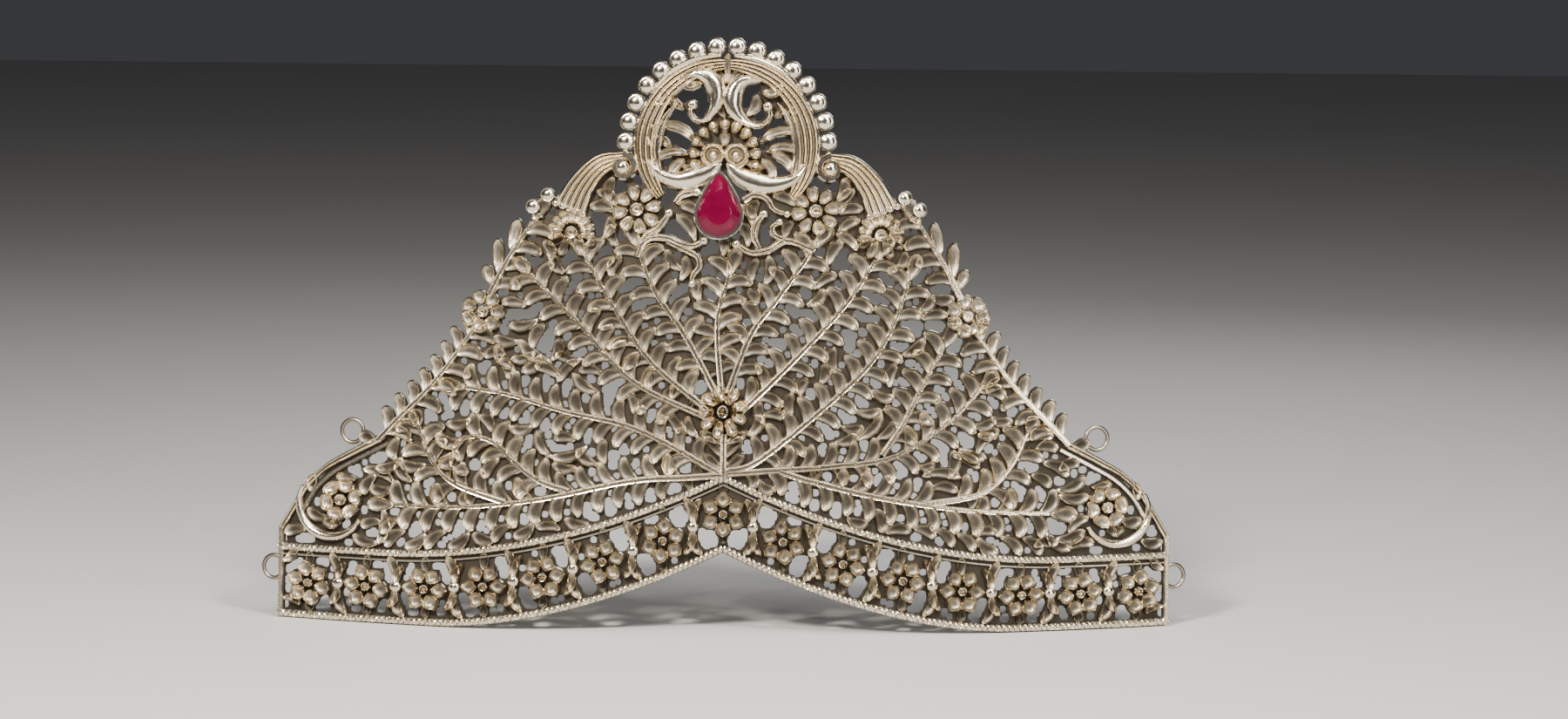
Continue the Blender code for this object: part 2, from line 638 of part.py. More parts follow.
def joined_outline(outlines, patches):
    """The directed edges round the union of all the outlines, as closed loops of points."""
    points = []
    faces = []
    for outline in [*outlines, *patches]:
        faces.append(list(range(len(points), len(points) + len(outline))))
        points.extend(Vector(p) for p in outline)
    verts, _, tris, _, _, owners = delaunay_2d_cdt(points, [], faces, 0, 0.001)
    inside = [tri for tri, owner in zip(tris, owners) if owner]
    edges = set()
    for tri in inside:
        for a, b in zip(tri, [*tri[1:], tri[0]]):
            if (b, a) in edges:
                edges.remove((b, a))
            else:
                edges.add((a, b))
    follow = {}
    for a, b in edges:
        follow.setdefault(a, []).append(b)
    pinched = [tuple(verts[a]) for a, ends in follow.items() if len(ends) > 1]
    loops = []
    while not pinched and follow:
        start = next(iter(follow))
        loop = [start]
        while follow[loop[-1]][0] != start:
            loop.append(follow[loop[-1]][0])
        for a in loop:
            del follow[a]
        loops.append([tuple(verts[a]) for a in loop])
    return loops, pinched


def loop_area(loop):
    return sum(a[0] * b[1] - b[0] * a[1] for a, b in zip(loop, [*loop[1:], loop[0]])) / 2


def simplified(loops):
    """The loops without the points that turn least, as long as no loop comes to cross another."""
    points = [p for loop in loops for p in loop]
    before = {}
    after = {}
    size = {}
    start = 0
    for loop in loops:
        count = len(loop)
        for i in range(count):
            before[start + i] = start + (i - 1) % count
            after[start + i] = start + (i + 1) % count
            size[start + i] = [count, start]
        shared = size[start]
        for i in range(count):
            size[start + i] = shared
        start += count
    cells = {}
    for i, (u, v) in enumerate(points):
        cells.setdefault((int(u // 2), int(v // 2)), set()).add(i)

    def turn(a, b, c):
        return (b[0] - a[0]) * (c[1] - a[1]) - (c[0] - a[0]) * (b[1] - a[1])

    def weight(i):
        area = turn(points[before[i]], points[i], points[after[i]]) / 2
        area = area if area > 0 else -area * CREVICE_SHARE
        return area * EDGE_CARE if i < len(loops[0]) else area

    def blocked(i):
        a, b, c = points[before[i]], points[i], points[after[i]]
        for x in range(int(min(a[0], b[0], c[0]) // 2), int(max(a[0], b[0], c[0]) // 2) + 1):
            for y in range(int(min(a[1], b[1], c[1]) // 2), int(max(a[1], b[1], c[1]) // 2) + 1):
                for j in cells.get((x, y), ()):
                    if j in (i, before[i], after[i]):
                        continue
                    p = points[j]
                    signs = (turn(a, b, p), turn(b, c, p), turn(c, a, p))
                    if min(signs) >= -0.05 or max(signs) <= 0.05:
                        return True
        return False

    queue = [(weight(i), i) for i in before]
    heapq.heapify(queue)
    gone = set()
    while queue and len(points) - len(gone) > OUTLINE_POINTS:
        value, i = heapq.heappop(queue)
        if i in gone or value < weight(i) - 1e-9 or size[i][0] < 5:
            continue
        if rests(points[i]) or blocked(i):
            continue
        gone.add(i)
        size[i][0] -= 1
        u, v = points[i]
        cells[(int(u // 2), int(v // 2))].discard(i)
        after[before[i]] = after[i]
        before[after[i]] = before[i]
        for j in (before[i], after[i]):
            heapq.heappush(queue, (weight(j), j))
    kept = []
    start = 0
    for loop in loops:
        members = [i for i in range(start, start + len(loop)) if i not in gone]
        kept.append([points[i] for i in members])
        start += len(loop)
    return kept


def pierced_loops(drawing):
    """The sheet's outer loop and its piercings, simplified, with no pinched corner left."""
    patches = []
    for _ in range(8):
        loops, pinched = joined_outline(drawing.outlines, patches)
        if not pinched:
            break
        patches += [[polar(p, 0.45, math.pi * k / 3) for k in range(6)] for p in pinched]
    loops.sort(key=loop_area, reverse=True)
    outer = loops[0]
    holes = [loop for loop in loops[1:] if loop_area(loop) < -LEAST_HOLE]
    return simplified([outer, *holes])


def kept_ribs(drawing, loops):
    """The rib points that stand clear of the piercings and of each other, and the rib lines
    between them that cross no edge."""
    starts = np.array([p for loop in loops for p in loop])
    ends = np.array([p for loop in loops for p in [*loop[1:], loop[0]]])
    along = ends - starts
    square = (along**2).sum(1)

    def clear(p):
        share = np.clip(((p - starts) * along).sum(1) / square, 0, 1)
        return np.hypot(*(starts + along * share[:, None] - p).T).min()

    def cross(a, b):
        return a[..., 0] * b[..., 1] - a[..., 1] * b[..., 0]

    def crosses(p, q):
        d = q - p
        s0, s1 = cross(d, starts - p), cross(d, ends - p)
        t0, t1 = cross(along, p - starts), cross(along, q - starts)
        return bool(((s0 * s1 < 0) & (t0 * t1 < 0)).any())

    ribs = []
    lines = []
    for line in sorted(drawing.ribs, key=lambda r: -r[0][2]):
        last = None
        for u, v, height in line:
            p = np.array((u, v))
            near = None
            for k, (x, y, _) in enumerate(ribs):
                if (x - u) ** 2 + (y - v) ** 2 < RIB_APART**2:
                    near = k
                    break
            if near is None and clear(p) > RIB_CLEAR:
                near = len(ribs)
                ribs.append((u, v, height))
            if near is not None and last is not None and near != last:
                if not crosses(np.array(ribs[last][:2]), np.array(ribs[near][:2])):
                    lines.append((last, near))
            last = near
    return ribs, lines


def filled(loops, ribs, lines):
    """Triangles over the first loop with the others left open. Points and heights come back with
    the loops' own points first, in their order."""
    points = [Vector(p) for loop in loops for p in loop]
    heights = [SHEET] * len(points)
    faces = []
    start = 0
    for i, loop in enumerate(loops):
        index = list(range(start, start + len(loop)))
        faces.append(index if i == 0 else index[::-1])
        start += len(loop)
    points += [Vector(rib[:2]) for rib in ribs]
    heights += [rib[2] for rib in ribs]
    edges = [(start + a, start + b) for a, b in lines]
    verts, _, tris, origins, _, owners = delaunay_2d_cdt(points, edges, faces, 0, 0.0001)
    where = {}
    for new, old in enumerate(origins):
        for i in old:
            where[i] = new
    order = [where[i] for i in range(start)]
    rank = {new: i for i, new in enumerate(order)}
    extra = [i for i in range(len(verts)) if i not in rank]
    rank.update({new: start + i for i, new in enumerate(extra)})
    spots = [tuple(verts[i]) for i in order + extra]
    levels = [SHEET] * start
    for new in extra:
        levels.append(max((heights[i] for i in origins[new]), default=LEAF_HEIGHT))
    inner = [[rank[i] for i in tri] for tri, owner in zip(tris, owners) if owner == [0]]
    return spots, levels, inner


def on_sheet(u, v, height):
    """Bends and leans a point of the drawing that stands at a height off the sheet's back."""
    turn = math.asin(max(-1.0, min(1.0, u / BEND_RADIUS)))
    x = u + height * math.sin(turn)
    y = set_back(u) - height * math.cos(turn)
    back = y * math.cos(LEAN) + v * math.sin(LEAN)
    up = v * math.cos(LEAN) - y * math.sin(LEAN)
    return Vector((x, back, up)) * MM


def grounded(u, v, height):
    """on_sheet, with the resting stretch of the lower edge brought to the table."""
    spot = on_sheet(u, v, height)
    if rests((u, v)):
        spot.z = 0.0
    return spot


def crown_plate(material):
    """The pierced sheet: a ribbed front, a plain back and the walls of the edge and piercings."""
    drawing = Drawing()
    draw_borders(drawing)
    draw_band(drawing)
    draw_fronds(drawing)
    draw_corners(drawing)
    draw_crest(drawing)
    draw_shoulders(drawing)
    draw_centre(drawing)
    drawing.fill_voids(field_outline(), FIELD_VOID, VOID_LEAF_WIDTH)
    loops = pierced_loops(drawing)
    pad = np.array(pear(STONE_RADIUS + 2 * PAD_MARGIN, STONE_POINT + 2 * PAD_MARGIN))
    low, high = pad.min(0), pad.max(0)
    drawing.ribs = [
        line for line in drawing.ribs
        if not any(low[0] < u < high[0] and low[1] < v < high[1] for u, v, _ in line)
    ]
    ribs, lines = kept_ribs(drawing, loops)
    front, levels, front_tris = filled(loops, ribs, lines)
    back, _, back_tris = filled(loops, [], [])
    bm = bmesh.new()
    front_verts = [bm.verts.new(grounded(u, v, h)) for (u, v), h in zip(front, levels)]
    back_verts = [bm.verts.new(grounded(u, v, 0.0)) for u, v in back]
    for tri in front_tris:
        bm.faces.new([front_verts[i] for i in tri])
    for tri in back_tris:
        bm.faces.new([back_verts[i] for i in reversed(tri)])
    start = 0
    for loop in loops:
        for i in range(len(loop)):
            a, b = start + i, start + (i + 1) % len(loop)
            bm.faces.new((front_verts[b], front_verts[a], back_verts[a], back_verts[b]))
        start += len(loop)
    bmesh.ops.recalc_face_normals(bm, faces=bm.faces)
    print(len(loops) - 1, "piercings,", sum(len(f.verts) - 2 for f in bm.faces), "triangles")
    return mesh_object("crown_plate", bm, material)


def loft(bm, rings, closed=False):
    """Joins rings of as many points each with quads; the ends are capped unless it is closed."""
    count = len(rings[0])
    pairs = list(zip(rings, rings[1:]))
    if closed:
        pairs.append((rings[-1], rings[0]))
    for low, high in pairs:
        for i in range(count):
            j = (i + 1) % count
            bm.faces.new((low[i], low[j], high[j], high[i]))
    if not closed:
        bm.faces.new(rings[0][::-1])
        bm.faces.new(rings[-1])
    bmesh.ops.recalc_face_normals(bm, faces=bm.faces)


def stone_bezel(material):
    """The thin silver wall round the stone."""
    bm = bmesh.new()
    base = SHEET + SEAT_GAP
    rings = []
    for grow, height in (
        (SEAT_GAP, base),
        (SEAT_GAP + BEZEL_WALL + 0.2, base),
        (SEAT_GAP + BEZEL_WALL, base + BEZEL_HEIGHT),
        (SEAT_GAP, base + BEZEL_HEIGHT),
    ):
        outline = pear(STONE_RADIUS + grow, STONE_POINT + grow)
        rings.append([bm.verts.new(on_sheet(u, v, height)) for u, v in outline])
    loft(bm, rings, closed=True)
    return mesh_object("stone_bezel", bm, material)


def red_stone(material):
    """The cut stone: a girdle, a ring of crown facets and a flat table."""
    bm = bmesh.new()
    base = SHEET + SEAT_GAP
    rings = []
    centre = Vector(at(STONE_U, STONE_V + 1.0))
    for share, height in ((0.8, 0.0), (1.0, GIRDLE_LOW), (1.0, GIRDLE_HIGH), (STONE_TABLE, STONE_HEIGHT)):
        spots = [centre.lerp(Vector(p), share) for p in pear(STONE_RADIUS, STONE_POINT)]
        rings.append([bm.verts.new(on_sheet(u, v, base + height)) for u, v in spots])
    loft(bm, rings)
    return mesh_object("red_stone", bm, material)


def tie_ring(name, place, material):
    """A ring of round wire that lies flat behind the edge of the sheet."""
    u, v = place
    height = -(SEAT_GAP + RING_WIRE)
    turn = math.asin(u / BEND_RADIUS)
    bpy.ops.mesh.primitive_torus_add(
        major_segments=RING_SEGMENTS,
        minor_segments=WIRE_SEGMENTS,
        major_radius=RING_RADIUS * MM,
        minor_radius=RING_WIRE * MM,
    )
    ring = bpy.context.object
    ring.name = name
    ring.data.name = name
    upright = Matrix.Rotation(math.pi / 2, 4, "X")
    bent = Matrix.Rotation(turn, 4, "Z")
    leant = Matrix.Rotation(-LEAN, 4, "X")
    ring.matrix_world = Matrix.Translation(on_sheet(u, v, height)) @ leant @ bent @ upright
    ring.data.materials.append(material)
    return ring


def mesh_object(name, bm, material):
    mesh = bpy.data.meshes.new(name)
    bm.to_mesh(mesh)
    bm.free()
    mesh.materials.append(material)
    obj = bpy.data.objects.new(name, mesh)
    bpy.context.scene.collection.objects.link(obj)
    return obj


def finish(name, colour, metallic, roughness):
    material = bpy.data.materials.new(name)
    material.use_nodes = True
    shader = material.node_tree.nodes["Principled BSDF"]
    shader.inputs["Base Color"].default_value = (*colour, 1.0)
    shader.inputs["Metallic"].default_value = metallic
    shader.inputs["Roughness"].default_value = roughness
    return material


def stand_centred(pieces):
    """Moves the pieces so that the origin is under the middle of their box, on the table."""
    bpy.context.view_layer.update()
    corners = [piece.matrix_world @ Vector(c) for piece in pieces for c in piece.bound_box]
    low = Vector(min(c[i] for c in corners) for i in range(3))
    high = Vector(max(c[i] for c in corners) for i in range(3))
    shift = Vector((-(low.x + high.x) / 2, -(low.y + high.y) / 2, -low.z))
    for piece in pieces:
        piece.location += shift
    print("shifted by", [round(x / MM, 3) for x in shift], "mm")


def main():
    for obj in list(bpy.data.objects):
        bpy.data.objects.remove(obj)
    silver = finish("chased_silver", (0.72, 0.68, 0.60), 1.0, 0.32)
    wire = finish("silver_wire", (0.78, 0.75, 0.70), 1.0, 0.25)
    stone = finish("red_stone", (0.42, 0.01, 0.05), 0.0, 0.06)
    upper = at(*RING_UPPER)
    lower = (HALF_WIDTH + RING_LOWER_OUT, at(0, RING_LOWER_V)[1])
    pieces = [
        crown_plate(silver),
        stone_bezel(wire),
        red_stone(stone),
        tie_ring("tie_ring_upper_left", (-upper[0], upper[1]), wire),
        tie_ring("tie_ring_upper_right", upper, wire),
        tie_ring("tie_ring_lower_left", (-lower[0], lower[1]), wire),
        tie_ring("tie_ring_lower_right", lower, wire),
    ]
    crown = bpy.data.collections.new("silver_crown_frontlet")
    bpy.context.scene.collection.children.link(crown)
    for piece in pieces:
        for other in list(piece.users_collection):
            other.objects.unlink(piece)
        crown.objects.link(piece)
    stand_centred(pieces)


main()
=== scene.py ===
# %% [markdown]
# An openwork silver crown frontlet: one pierced and chased sheet, bent to a forehead, with a red
# stone in a bezel and four tie rings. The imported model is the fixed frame: it gives the place,
# the bend and the size, and this script gives the fine relief and the finishes.

# %% Load the frame
import math
import random

import bmesh
import bpy
import numpy as np
from mathutils import Matrix, Vector
from mathutils.kdtree import KDTree


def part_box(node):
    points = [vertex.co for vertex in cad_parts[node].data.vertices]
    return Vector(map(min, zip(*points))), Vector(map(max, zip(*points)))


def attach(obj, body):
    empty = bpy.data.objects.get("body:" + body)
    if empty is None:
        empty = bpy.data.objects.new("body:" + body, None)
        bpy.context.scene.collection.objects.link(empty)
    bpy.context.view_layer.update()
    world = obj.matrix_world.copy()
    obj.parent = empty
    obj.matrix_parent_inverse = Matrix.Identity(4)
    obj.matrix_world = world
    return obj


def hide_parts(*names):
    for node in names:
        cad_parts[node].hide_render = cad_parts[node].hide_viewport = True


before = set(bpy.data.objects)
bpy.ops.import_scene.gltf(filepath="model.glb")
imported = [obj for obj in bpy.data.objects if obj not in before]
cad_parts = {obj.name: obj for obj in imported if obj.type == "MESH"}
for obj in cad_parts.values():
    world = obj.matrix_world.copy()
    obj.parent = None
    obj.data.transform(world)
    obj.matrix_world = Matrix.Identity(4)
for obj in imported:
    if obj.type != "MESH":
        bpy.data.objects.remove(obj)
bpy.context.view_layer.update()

# %% [markdown]
# The whole front is drawn flat first, in millimetres: u runs to the right and v up from the table.
# A silversmith works the same way, on a flat sheet in pitch, and bends it last. These are the
# sizes of the solid model, so the finer relief lands on the same sheet.

# %% Sizes of the sheet
MM = 0.001
HALF_WIDTH = 128.5
BEND_RADIUS = 381.0
LEAN = math.radians(7.0)
CONTACT = 82.0
NOTCH_RISE = 23.5
NOTCH_POWER = 1.75
ROPE_WIDTH = 2.3
BAND_HEIGHT = 20.3
UPPER_RISE = 24.4
UPPER_RUN = 95.0
UPPER_POWER = 1.9
BAND_PITCH = 17.0


def set_back(u):
    return BEND_RADIUS - math.sqrt(BEND_RADIUS**2 - u * u)


def table_line(u):
    return set_back(u) * math.tan(LEAN)


def lower_edge(u):
    return table_line(u) + NOTCH_RISE * max(0.0, 1 - abs(u) / CONTACT) ** NOTCH_POWER


def upper_edge(u):
    rise = UPPER_RISE * max(0.0, 1 - abs(u) / UPPER_RUN) ** UPPER_POWER
    return BAND_HEIGHT - ROPE_WIDTH / 2 + table_line(u) + rise


def middle_line(u):
    return (lower_edge(u) + upper_edge(u) + ROPE_WIDTH) / 2


# %% [markdown]
# The flat drawing is then bent round an upright cylinder and leant back. A tie ring is the same on
# both sides of its centre, so its box tells how far the model was moved to stand centred.

# %% Bend and lean a point of the drawing
def bent(u, v, height):
    turn = math.asin(u / BEND_RADIUS)
    x = u + height * math.sin(turn)
    y = set_back(u) - height * math.cos(turn)
    back = y * math.cos(LEAN) + v * math.sin(LEAN)
    up = v * math.cos(LEAN) - y * math.sin(LEAN)
    return Vector((x, back, up))


RING_UPPER = (107.4, 56.6)
RING_LOWER = (130.6, 17.0)
RING_HEIGHT = -0.9
ring_low, ring_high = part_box("tie_ring_upper_right")
BACK_SHIFT = bent(*RING_UPPER, RING_HEIGHT).y - (ring_low.y + ring_high.y) / 2 / MM


def on_sheet(u, v, height):
    """Where a point of the flat drawing stands in the model, in metres."""
    spot = bent(u, v, height)
    return Vector((spot.x, spot.y - BACK_SHIFT, max(spot.z, 0.0))) * MM


print("the bent sheet stands", round(BACK_SHIFT, 3), "mm further forward than its drawing")

# %% [markdown]
# A stem is a smooth curve through a few points. A Catmull-Rom curve passes through all of its
# points, which makes a drawing easy to follow: each point is a place where the stem really runs.


# %% Smooth paths
CURVE_PARTS = 16


def walk(points):
    """The distance walked along a line when each of its points is reached."""
    return np.concatenate([[0.0], np.cumsum(np.hypot(*(points[1:] - points[:-1]).T))])


def smooth_path(controls, step):
    """A smooth curve through the controls, as points about one step apart."""
    points = [Vector(p) for p in controls]
    ends = [2 * points[0] - points[1], *points, 2 * points[-1] - points[-2]]
    fine = []
    for a, b, c, d in zip(ends, ends[1:], ends[2:], ends[3:]):
        for i in range(CURVE_PARTS):
            t = i / CURVE_PARTS
            bend = 2 * b + (c - a) * t
            bend += (2 * a - 5 * b + 4 * c - d) * t * t + (3 * b - a - 3 * c + d) * t**3
            fine.append(bend / 2)
    fine.append(points[-1])
    fine = np.array(fine)
    walked = walk(fine)
    places = np.linspace(0, walked[-1], max(3, round(walked[-1] / step) + 1))
    return np.stack([np.interp(places, walked, column) for column in fine.T], 1)


def polar(centre, radius, angle):
    return (centre[0] + radius * math.cos(angle), centre[1] + radius * math.sin(angle))


def arc(centre, radius_from, radius_to, turn_from, turn_to, count):
    """Points on an arc or a spiral; its turns are in degrees."""
    turns = np.radians(np.linspace(turn_from, turn_to, count + 1))
    radii = np.linspace(radius_from, radius_to, count + 1)
    return np.stack([centre[0] + radii * np.cos(turns), centre[1] + radii * np.sin(turns)], 1)


def heading(start, end):
    return math.atan2(end[1] - start[1], end[0] - start[0])


def flipped(points, sign):
    """Points drawn for the right side, or their mirror images where sign is -1."""
    return [(sign * u, v) for u, v in points]


def flipped_turn(turn, sign):
    """An angle drawn for the right side, in degrees, as radians for either side."""
    return math.radians(turn if sign > 0 else 180 - turn)


# %% [markdown]
# Every finished piece becomes one object at the origin. It rides the only body and hides the
# solid whose place it takes.


# %% Finished pieces
SMOOTH_BELOW = 48


def mesh_from(bm, name):
    mesh = bpy.data.meshes.new(name)
    bm.to_mesh(mesh)
    bm.free()
    return mesh


def linked(name, data):
    thing = bpy.data.objects.new(name, data)
    bpy.context.scene.collection.objects.link(thing)
    return thing


def add_piece(name, bm, material, slot, replaces=(), smooth_below=SMOOTH_BELOW):
    """A piece whose edges are smooth below this angle, in degrees; at 0 every facet is flat."""
    mesh = mesh_from(bm, name)
    if smooth_below:
        mesh.shade_smooth()
        mesh.set_sharp_from_angle(angle=math.radians(smooth_below))
    else:
        mesh.shade_flat()
    mesh.materials.append(material)
    piece = linked(name, mesh)
    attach(piece, "root")
    for node in replaces:
        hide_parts(node)
    print(name, sum(len(p.vertices) - 2 for p in mesh.polygons), "triangles")


# %% [markdown]
# Each kind of small form is modelled once, as a closed shape whose rings are pulled up from a flat
# outline, and is then stamped along the drawing. That is how chasing works too: one punch makes
# one form many times. A leaf is a sawn edge, a raised rim and a smooth hollow.


# %% Punches: the forms that repeat
def raised(outline, rings, centre=(0.0, 0.0)):
    """A closed form: a flat outline pulled up ring by ring, each with its share of the outline."""
    bm = bmesh.new()
    made = bmesh.ops.create_circle(bm, cap_ends=True, segments=len(outline), radius=1.0)
    for vert, (x, y) in zip(made["verts"], outline):
        vert.co = Vector((x - centre[0], y - centre[1], 0.0))
    cap = bm.faces[:][0]
    share_below, height_below = 1.0, 0.0
    for i, (share, height) in enumerate(rings):
        below = cap
        grown = bmesh.ops.extrude_face_region(bm, geom=[below])
        cap = [g for g in grown["geom"] if isinstance(g, bmesh.types.BMFace)][0]
        if i > 0:
            bmesh.ops.delete(bm, geom=[below], context="FACES_ONLY")
        ratio = share / share_below
        bmesh.ops.scale(bm, vec=(ratio, ratio, 1.0), verts=cap.verts)
        bmesh.ops.translate(bm, vec=(0.0, 0.0, height - height_below), verts=cap.verts)
        share_below, height_below = share, height
    bmesh.ops.translate(bm, vec=(*centre, 0.0), verts=bm.verts)
    bmesh.ops.recalc_face_normals(bm, faces=bm.faces)
    return mesh_from(bm, "punch")


def mirrored_outline(side):
    """A closed outline from (place along, half width) pairs, the same on both sides."""
    return [(x, -half) for x, half in side] + [(x, half) for x, half in side[-2:0:-1]]


LEAF_SIDE = [(0, 0), (0.05, 0.18), (0.3, 0.38), (0.56, 0.5), (0.79, 0.48), (0.93, 0.28), (1, 0)]
PETAL_SIDE = [(0, 0), (0.06, 0.16), (0.3, 0.42), (0.56, 0.5), (0.82, 0.3), (1, 0)]
LOBE_SIDE = [(0, 0), (0.05, 0.22), (0.35, 0.4), (0.62, 0.5), (0.84, 0.42), (0.96, 0.2), (1, 0)]
RISE = [(1.0, 0.34), (0.96, 0.78), (0.85, 1.0), (0.7, 0.64), (0.45, 0.43), (0.18, 0.36)]
leaf_punch = raised(mirrored_outline(LEAF_SIDE), RISE, centre=(0.6, 0.0))
petal_punch = raised(mirrored_outline(PETAL_SIDE), RISE, centre=(0.5, 0.0))
lobe_punch = raised(mirrored_outline(LOBE_SIDE), RISE[:4] + [(0.3, 0.44)], centre=(0.6, 0.0))
ROUND = [polar((0, 0), 1.0, math.radians(30 * i)) for i in range(12)]
BEAD_RINGS = [(1, 0), (1, 0.5), (0.9, 0.72), (0.76, 0.7), (0.6, 0.84), (0.36, 0.97), (0.12, 1)]
EYE_RINGS = [(1, 0), (1, 0.82), (0.86, 1), (0.72, 0.98), (0.6, 0.7), (0.44, 0.76), (0.2, 1)]
DOME_RINGS = [(1, 0), (1, 0.55), (0.86, 0.85), (0.6, 1), (0.25, 1.06)]
GRANULE_RINGS = [(1, 0), (1, 0.6), (0.7, 0.95), (0.3, 1.05)]
bead_punch = raised(ROUND, BEAD_RINGS)
eye_punch = raised(ROUND, EYE_RINGS)
dome_punch = raised(ROUND, DOME_RINGS)
granule_punch = raised(ROUND[::2], GRANULE_RINGS)
print("a leaf has", len(leaf_punch.polygons), "faces, a bead", len(bead_punch.polygons))

# %% [markdown]
# A Relief collects stamped forms and swept bands while they are still flat, and sets them on the
# bent sheet at the end. It keeps each point's height as an attribute, so the finish can tell a
# ridge that gets polished from a recess where dark oxide stays and painted shade is laid in.


# %% A relief, drawn flat and bent last
GROOVE = 0.3
WELD = 1e-4
flat_points = []


class Relief:
    def __init__(self, name):
        self.name = name
        self.bm = bmesh.new()
        self.scratch = bpy.data.meshes.new("scratch")
        self.dice = random.Random(name)

    def add(self, part):
        part.to_mesh(self.scratch)
        part.free()
        self.bm.from_mesh(self.scratch)

    def stamp(self, punch, place):
        part = bmesh.new()
        part.from_mesh(punch)
        for vert in part.verts:
            vert.co = place(*vert.co)
        self.add(part)

    def leaf(
        self, base, angle, length, width, height=1.7, bend=0.0, curl=0.3, tilt=0.0, punch=leaf_punch
    ):
        """A leaf from its base: it bends as it goes, curls up to its tip and tilts sideways.

        Its height, width and tilt vary a little from leaf to leaf, as they do by hand.
        """
        tilt += self.dice.uniform(-0.5, 0.5)
        height *= self.dice.uniform(0.88, 1.1)
        width *= self.dice.uniform(0.93, 1.08)

        def place(x, y, z):
            turn = angle + bend * x
            along, across = length * x, width * y
            u = base[0] + along * math.cos(turn) - across * math.sin(turn)
            v = base[1] + along * math.sin(turn) + across * math.cos(turn)
            return Vector((u, v, z * (height + curl * x * x + tilt * y)))

        self.stamp(punch, place)

    def boss(self, centre, radius, height, punch=dome_punch, stretch=1.0):
        """A round form; stretch makes it oval upwards."""
        def place(x, y, z):
            return Vector((centre[0] + radius * x, centre[1] + radius * y * stretch, z * height))

        self.stamp(punch, place)

    def band(self, path, width, profile, height, carve=None):
        """A band swept along a path; width and height may be lists spread along its length.

        The profile is a list of (place across, share of the height); carve adds to the height
        from the distance walked and the place across.
        """
        part = bmesh.new()
        rows, columns = len(profile), len(path)
        bmesh.ops.create_grid(part, x_segments=columns - 1, y_segments=rows - 1, size=0.5)
        path = np.asarray(path)
        along = np.gradient(path, axis=0)
        along /= np.hypot(*along.T)[:, None]
        walked = walk(path)
        shares = walked / walked[-1]
        widths = np.interp(shares, np.linspace(0, 1, np.size(width)), np.atleast_1d(width))
        heights = np.interp(shares, np.linspace(0, 1, np.size(height)), np.atleast_1d(height))
        for vert in part.verts:
            i = round((vert.co.x + 0.5) * (columns - 1))
            across, tall = profile[round((vert.co.y + 0.5) * (rows - 1))]
            z = tall * heights[i]
            if carve and tall > 0:
                z += carve(walked[i], across) * tall
            side = across * widths[i] / 2
            vert.co = Vector((path[i][0] - along[i][1] * side, path[i][1] + along[i][0] * side, z))
        bmesh.ops.remove_doubles(part, verts=part.verts, dist=WELD)
        bmesh.ops.holes_fill(part, edges=[e for e in part.edges if e.is_boundary], sides=0)
        bmesh.ops.recalc_face_normals(part, faces=part.faces)
        self.add(part)

    def flower(
        self, centre, radius, petals, turn=0.0, height=1.8, stretch=1.0, heart=0.26, wide=0.8,
        punch=lobe_punch,
    ):
        """Petals round an eye, with a groove between the eye and the petals."""
        gap = 360.0 / petals
        inner = radius * heart * stretch + GROOVE
        for i in range(petals):
            angle = math.radians(turn + gap * i)
            reach = radius * (1 + (stretch - 1) * abs(math.sin(angle)))
            width = wide * math.radians(gap) * radius
            start = polar(centre, inner, angle)
            self.leaf(start, angle, reach - inner, width, height, curl=0.2, punch=punch)
        self.boss(centre, radius * heart, height + 0.4, eye_punch, stretch)

    def finish(self, material, slot, replaces=()):
        """Sets the drawn relief on the bent sheet and makes its piece."""
        flat_points.extend((vert.co.x, vert.co.y) for vert in self.bm.verts)
        layer = self.bm.verts.layers.float.new("relief")
        for vert in self.bm.verts:
            vert[layer] = vert.co.z
            vert.co = on_sheet(*vert.co)
        add_piece(self.name, self.bm, material, slot, replaces)


# %% [markdown]
# Shader maths reads best as plain arithmetic, so a small class wraps a socket and lets Python's
# operators add the Math nodes. One method makes every other node.


# %% A socket that takes part in arithmetic
class Wire:
    def __init__(self, finish, socket):
        self.finish = finish
        self.socket = socket

    def math(self, operation, first, second):
        return self.finish.wire("ShaderNodeMath", {"operation": operation}, {0: first, 1: second})

    def __add__(self, other):
        return self.math("ADD", self, other)

    __radd__ = __add__

    def __sub__(self, other):
        return self.math("SUBTRACT", self, other)

    def __rsub__(self, other):
        return self.math("SUBTRACT", other, self)

    def __mul__(self, other):
        return self.math("MULTIPLY", self, other)

    __rmul__ = __mul__

    def between(self, low, high):
        """0 at low and 1 at high, with a soft start and end."""
        settings = {"interpolation_type": "SMOOTHSTEP"}
        links = {"Value": self, "From Min": low, "From Max": high}
        return self.finish.wire("ShaderNodeMapRange", settings, links)


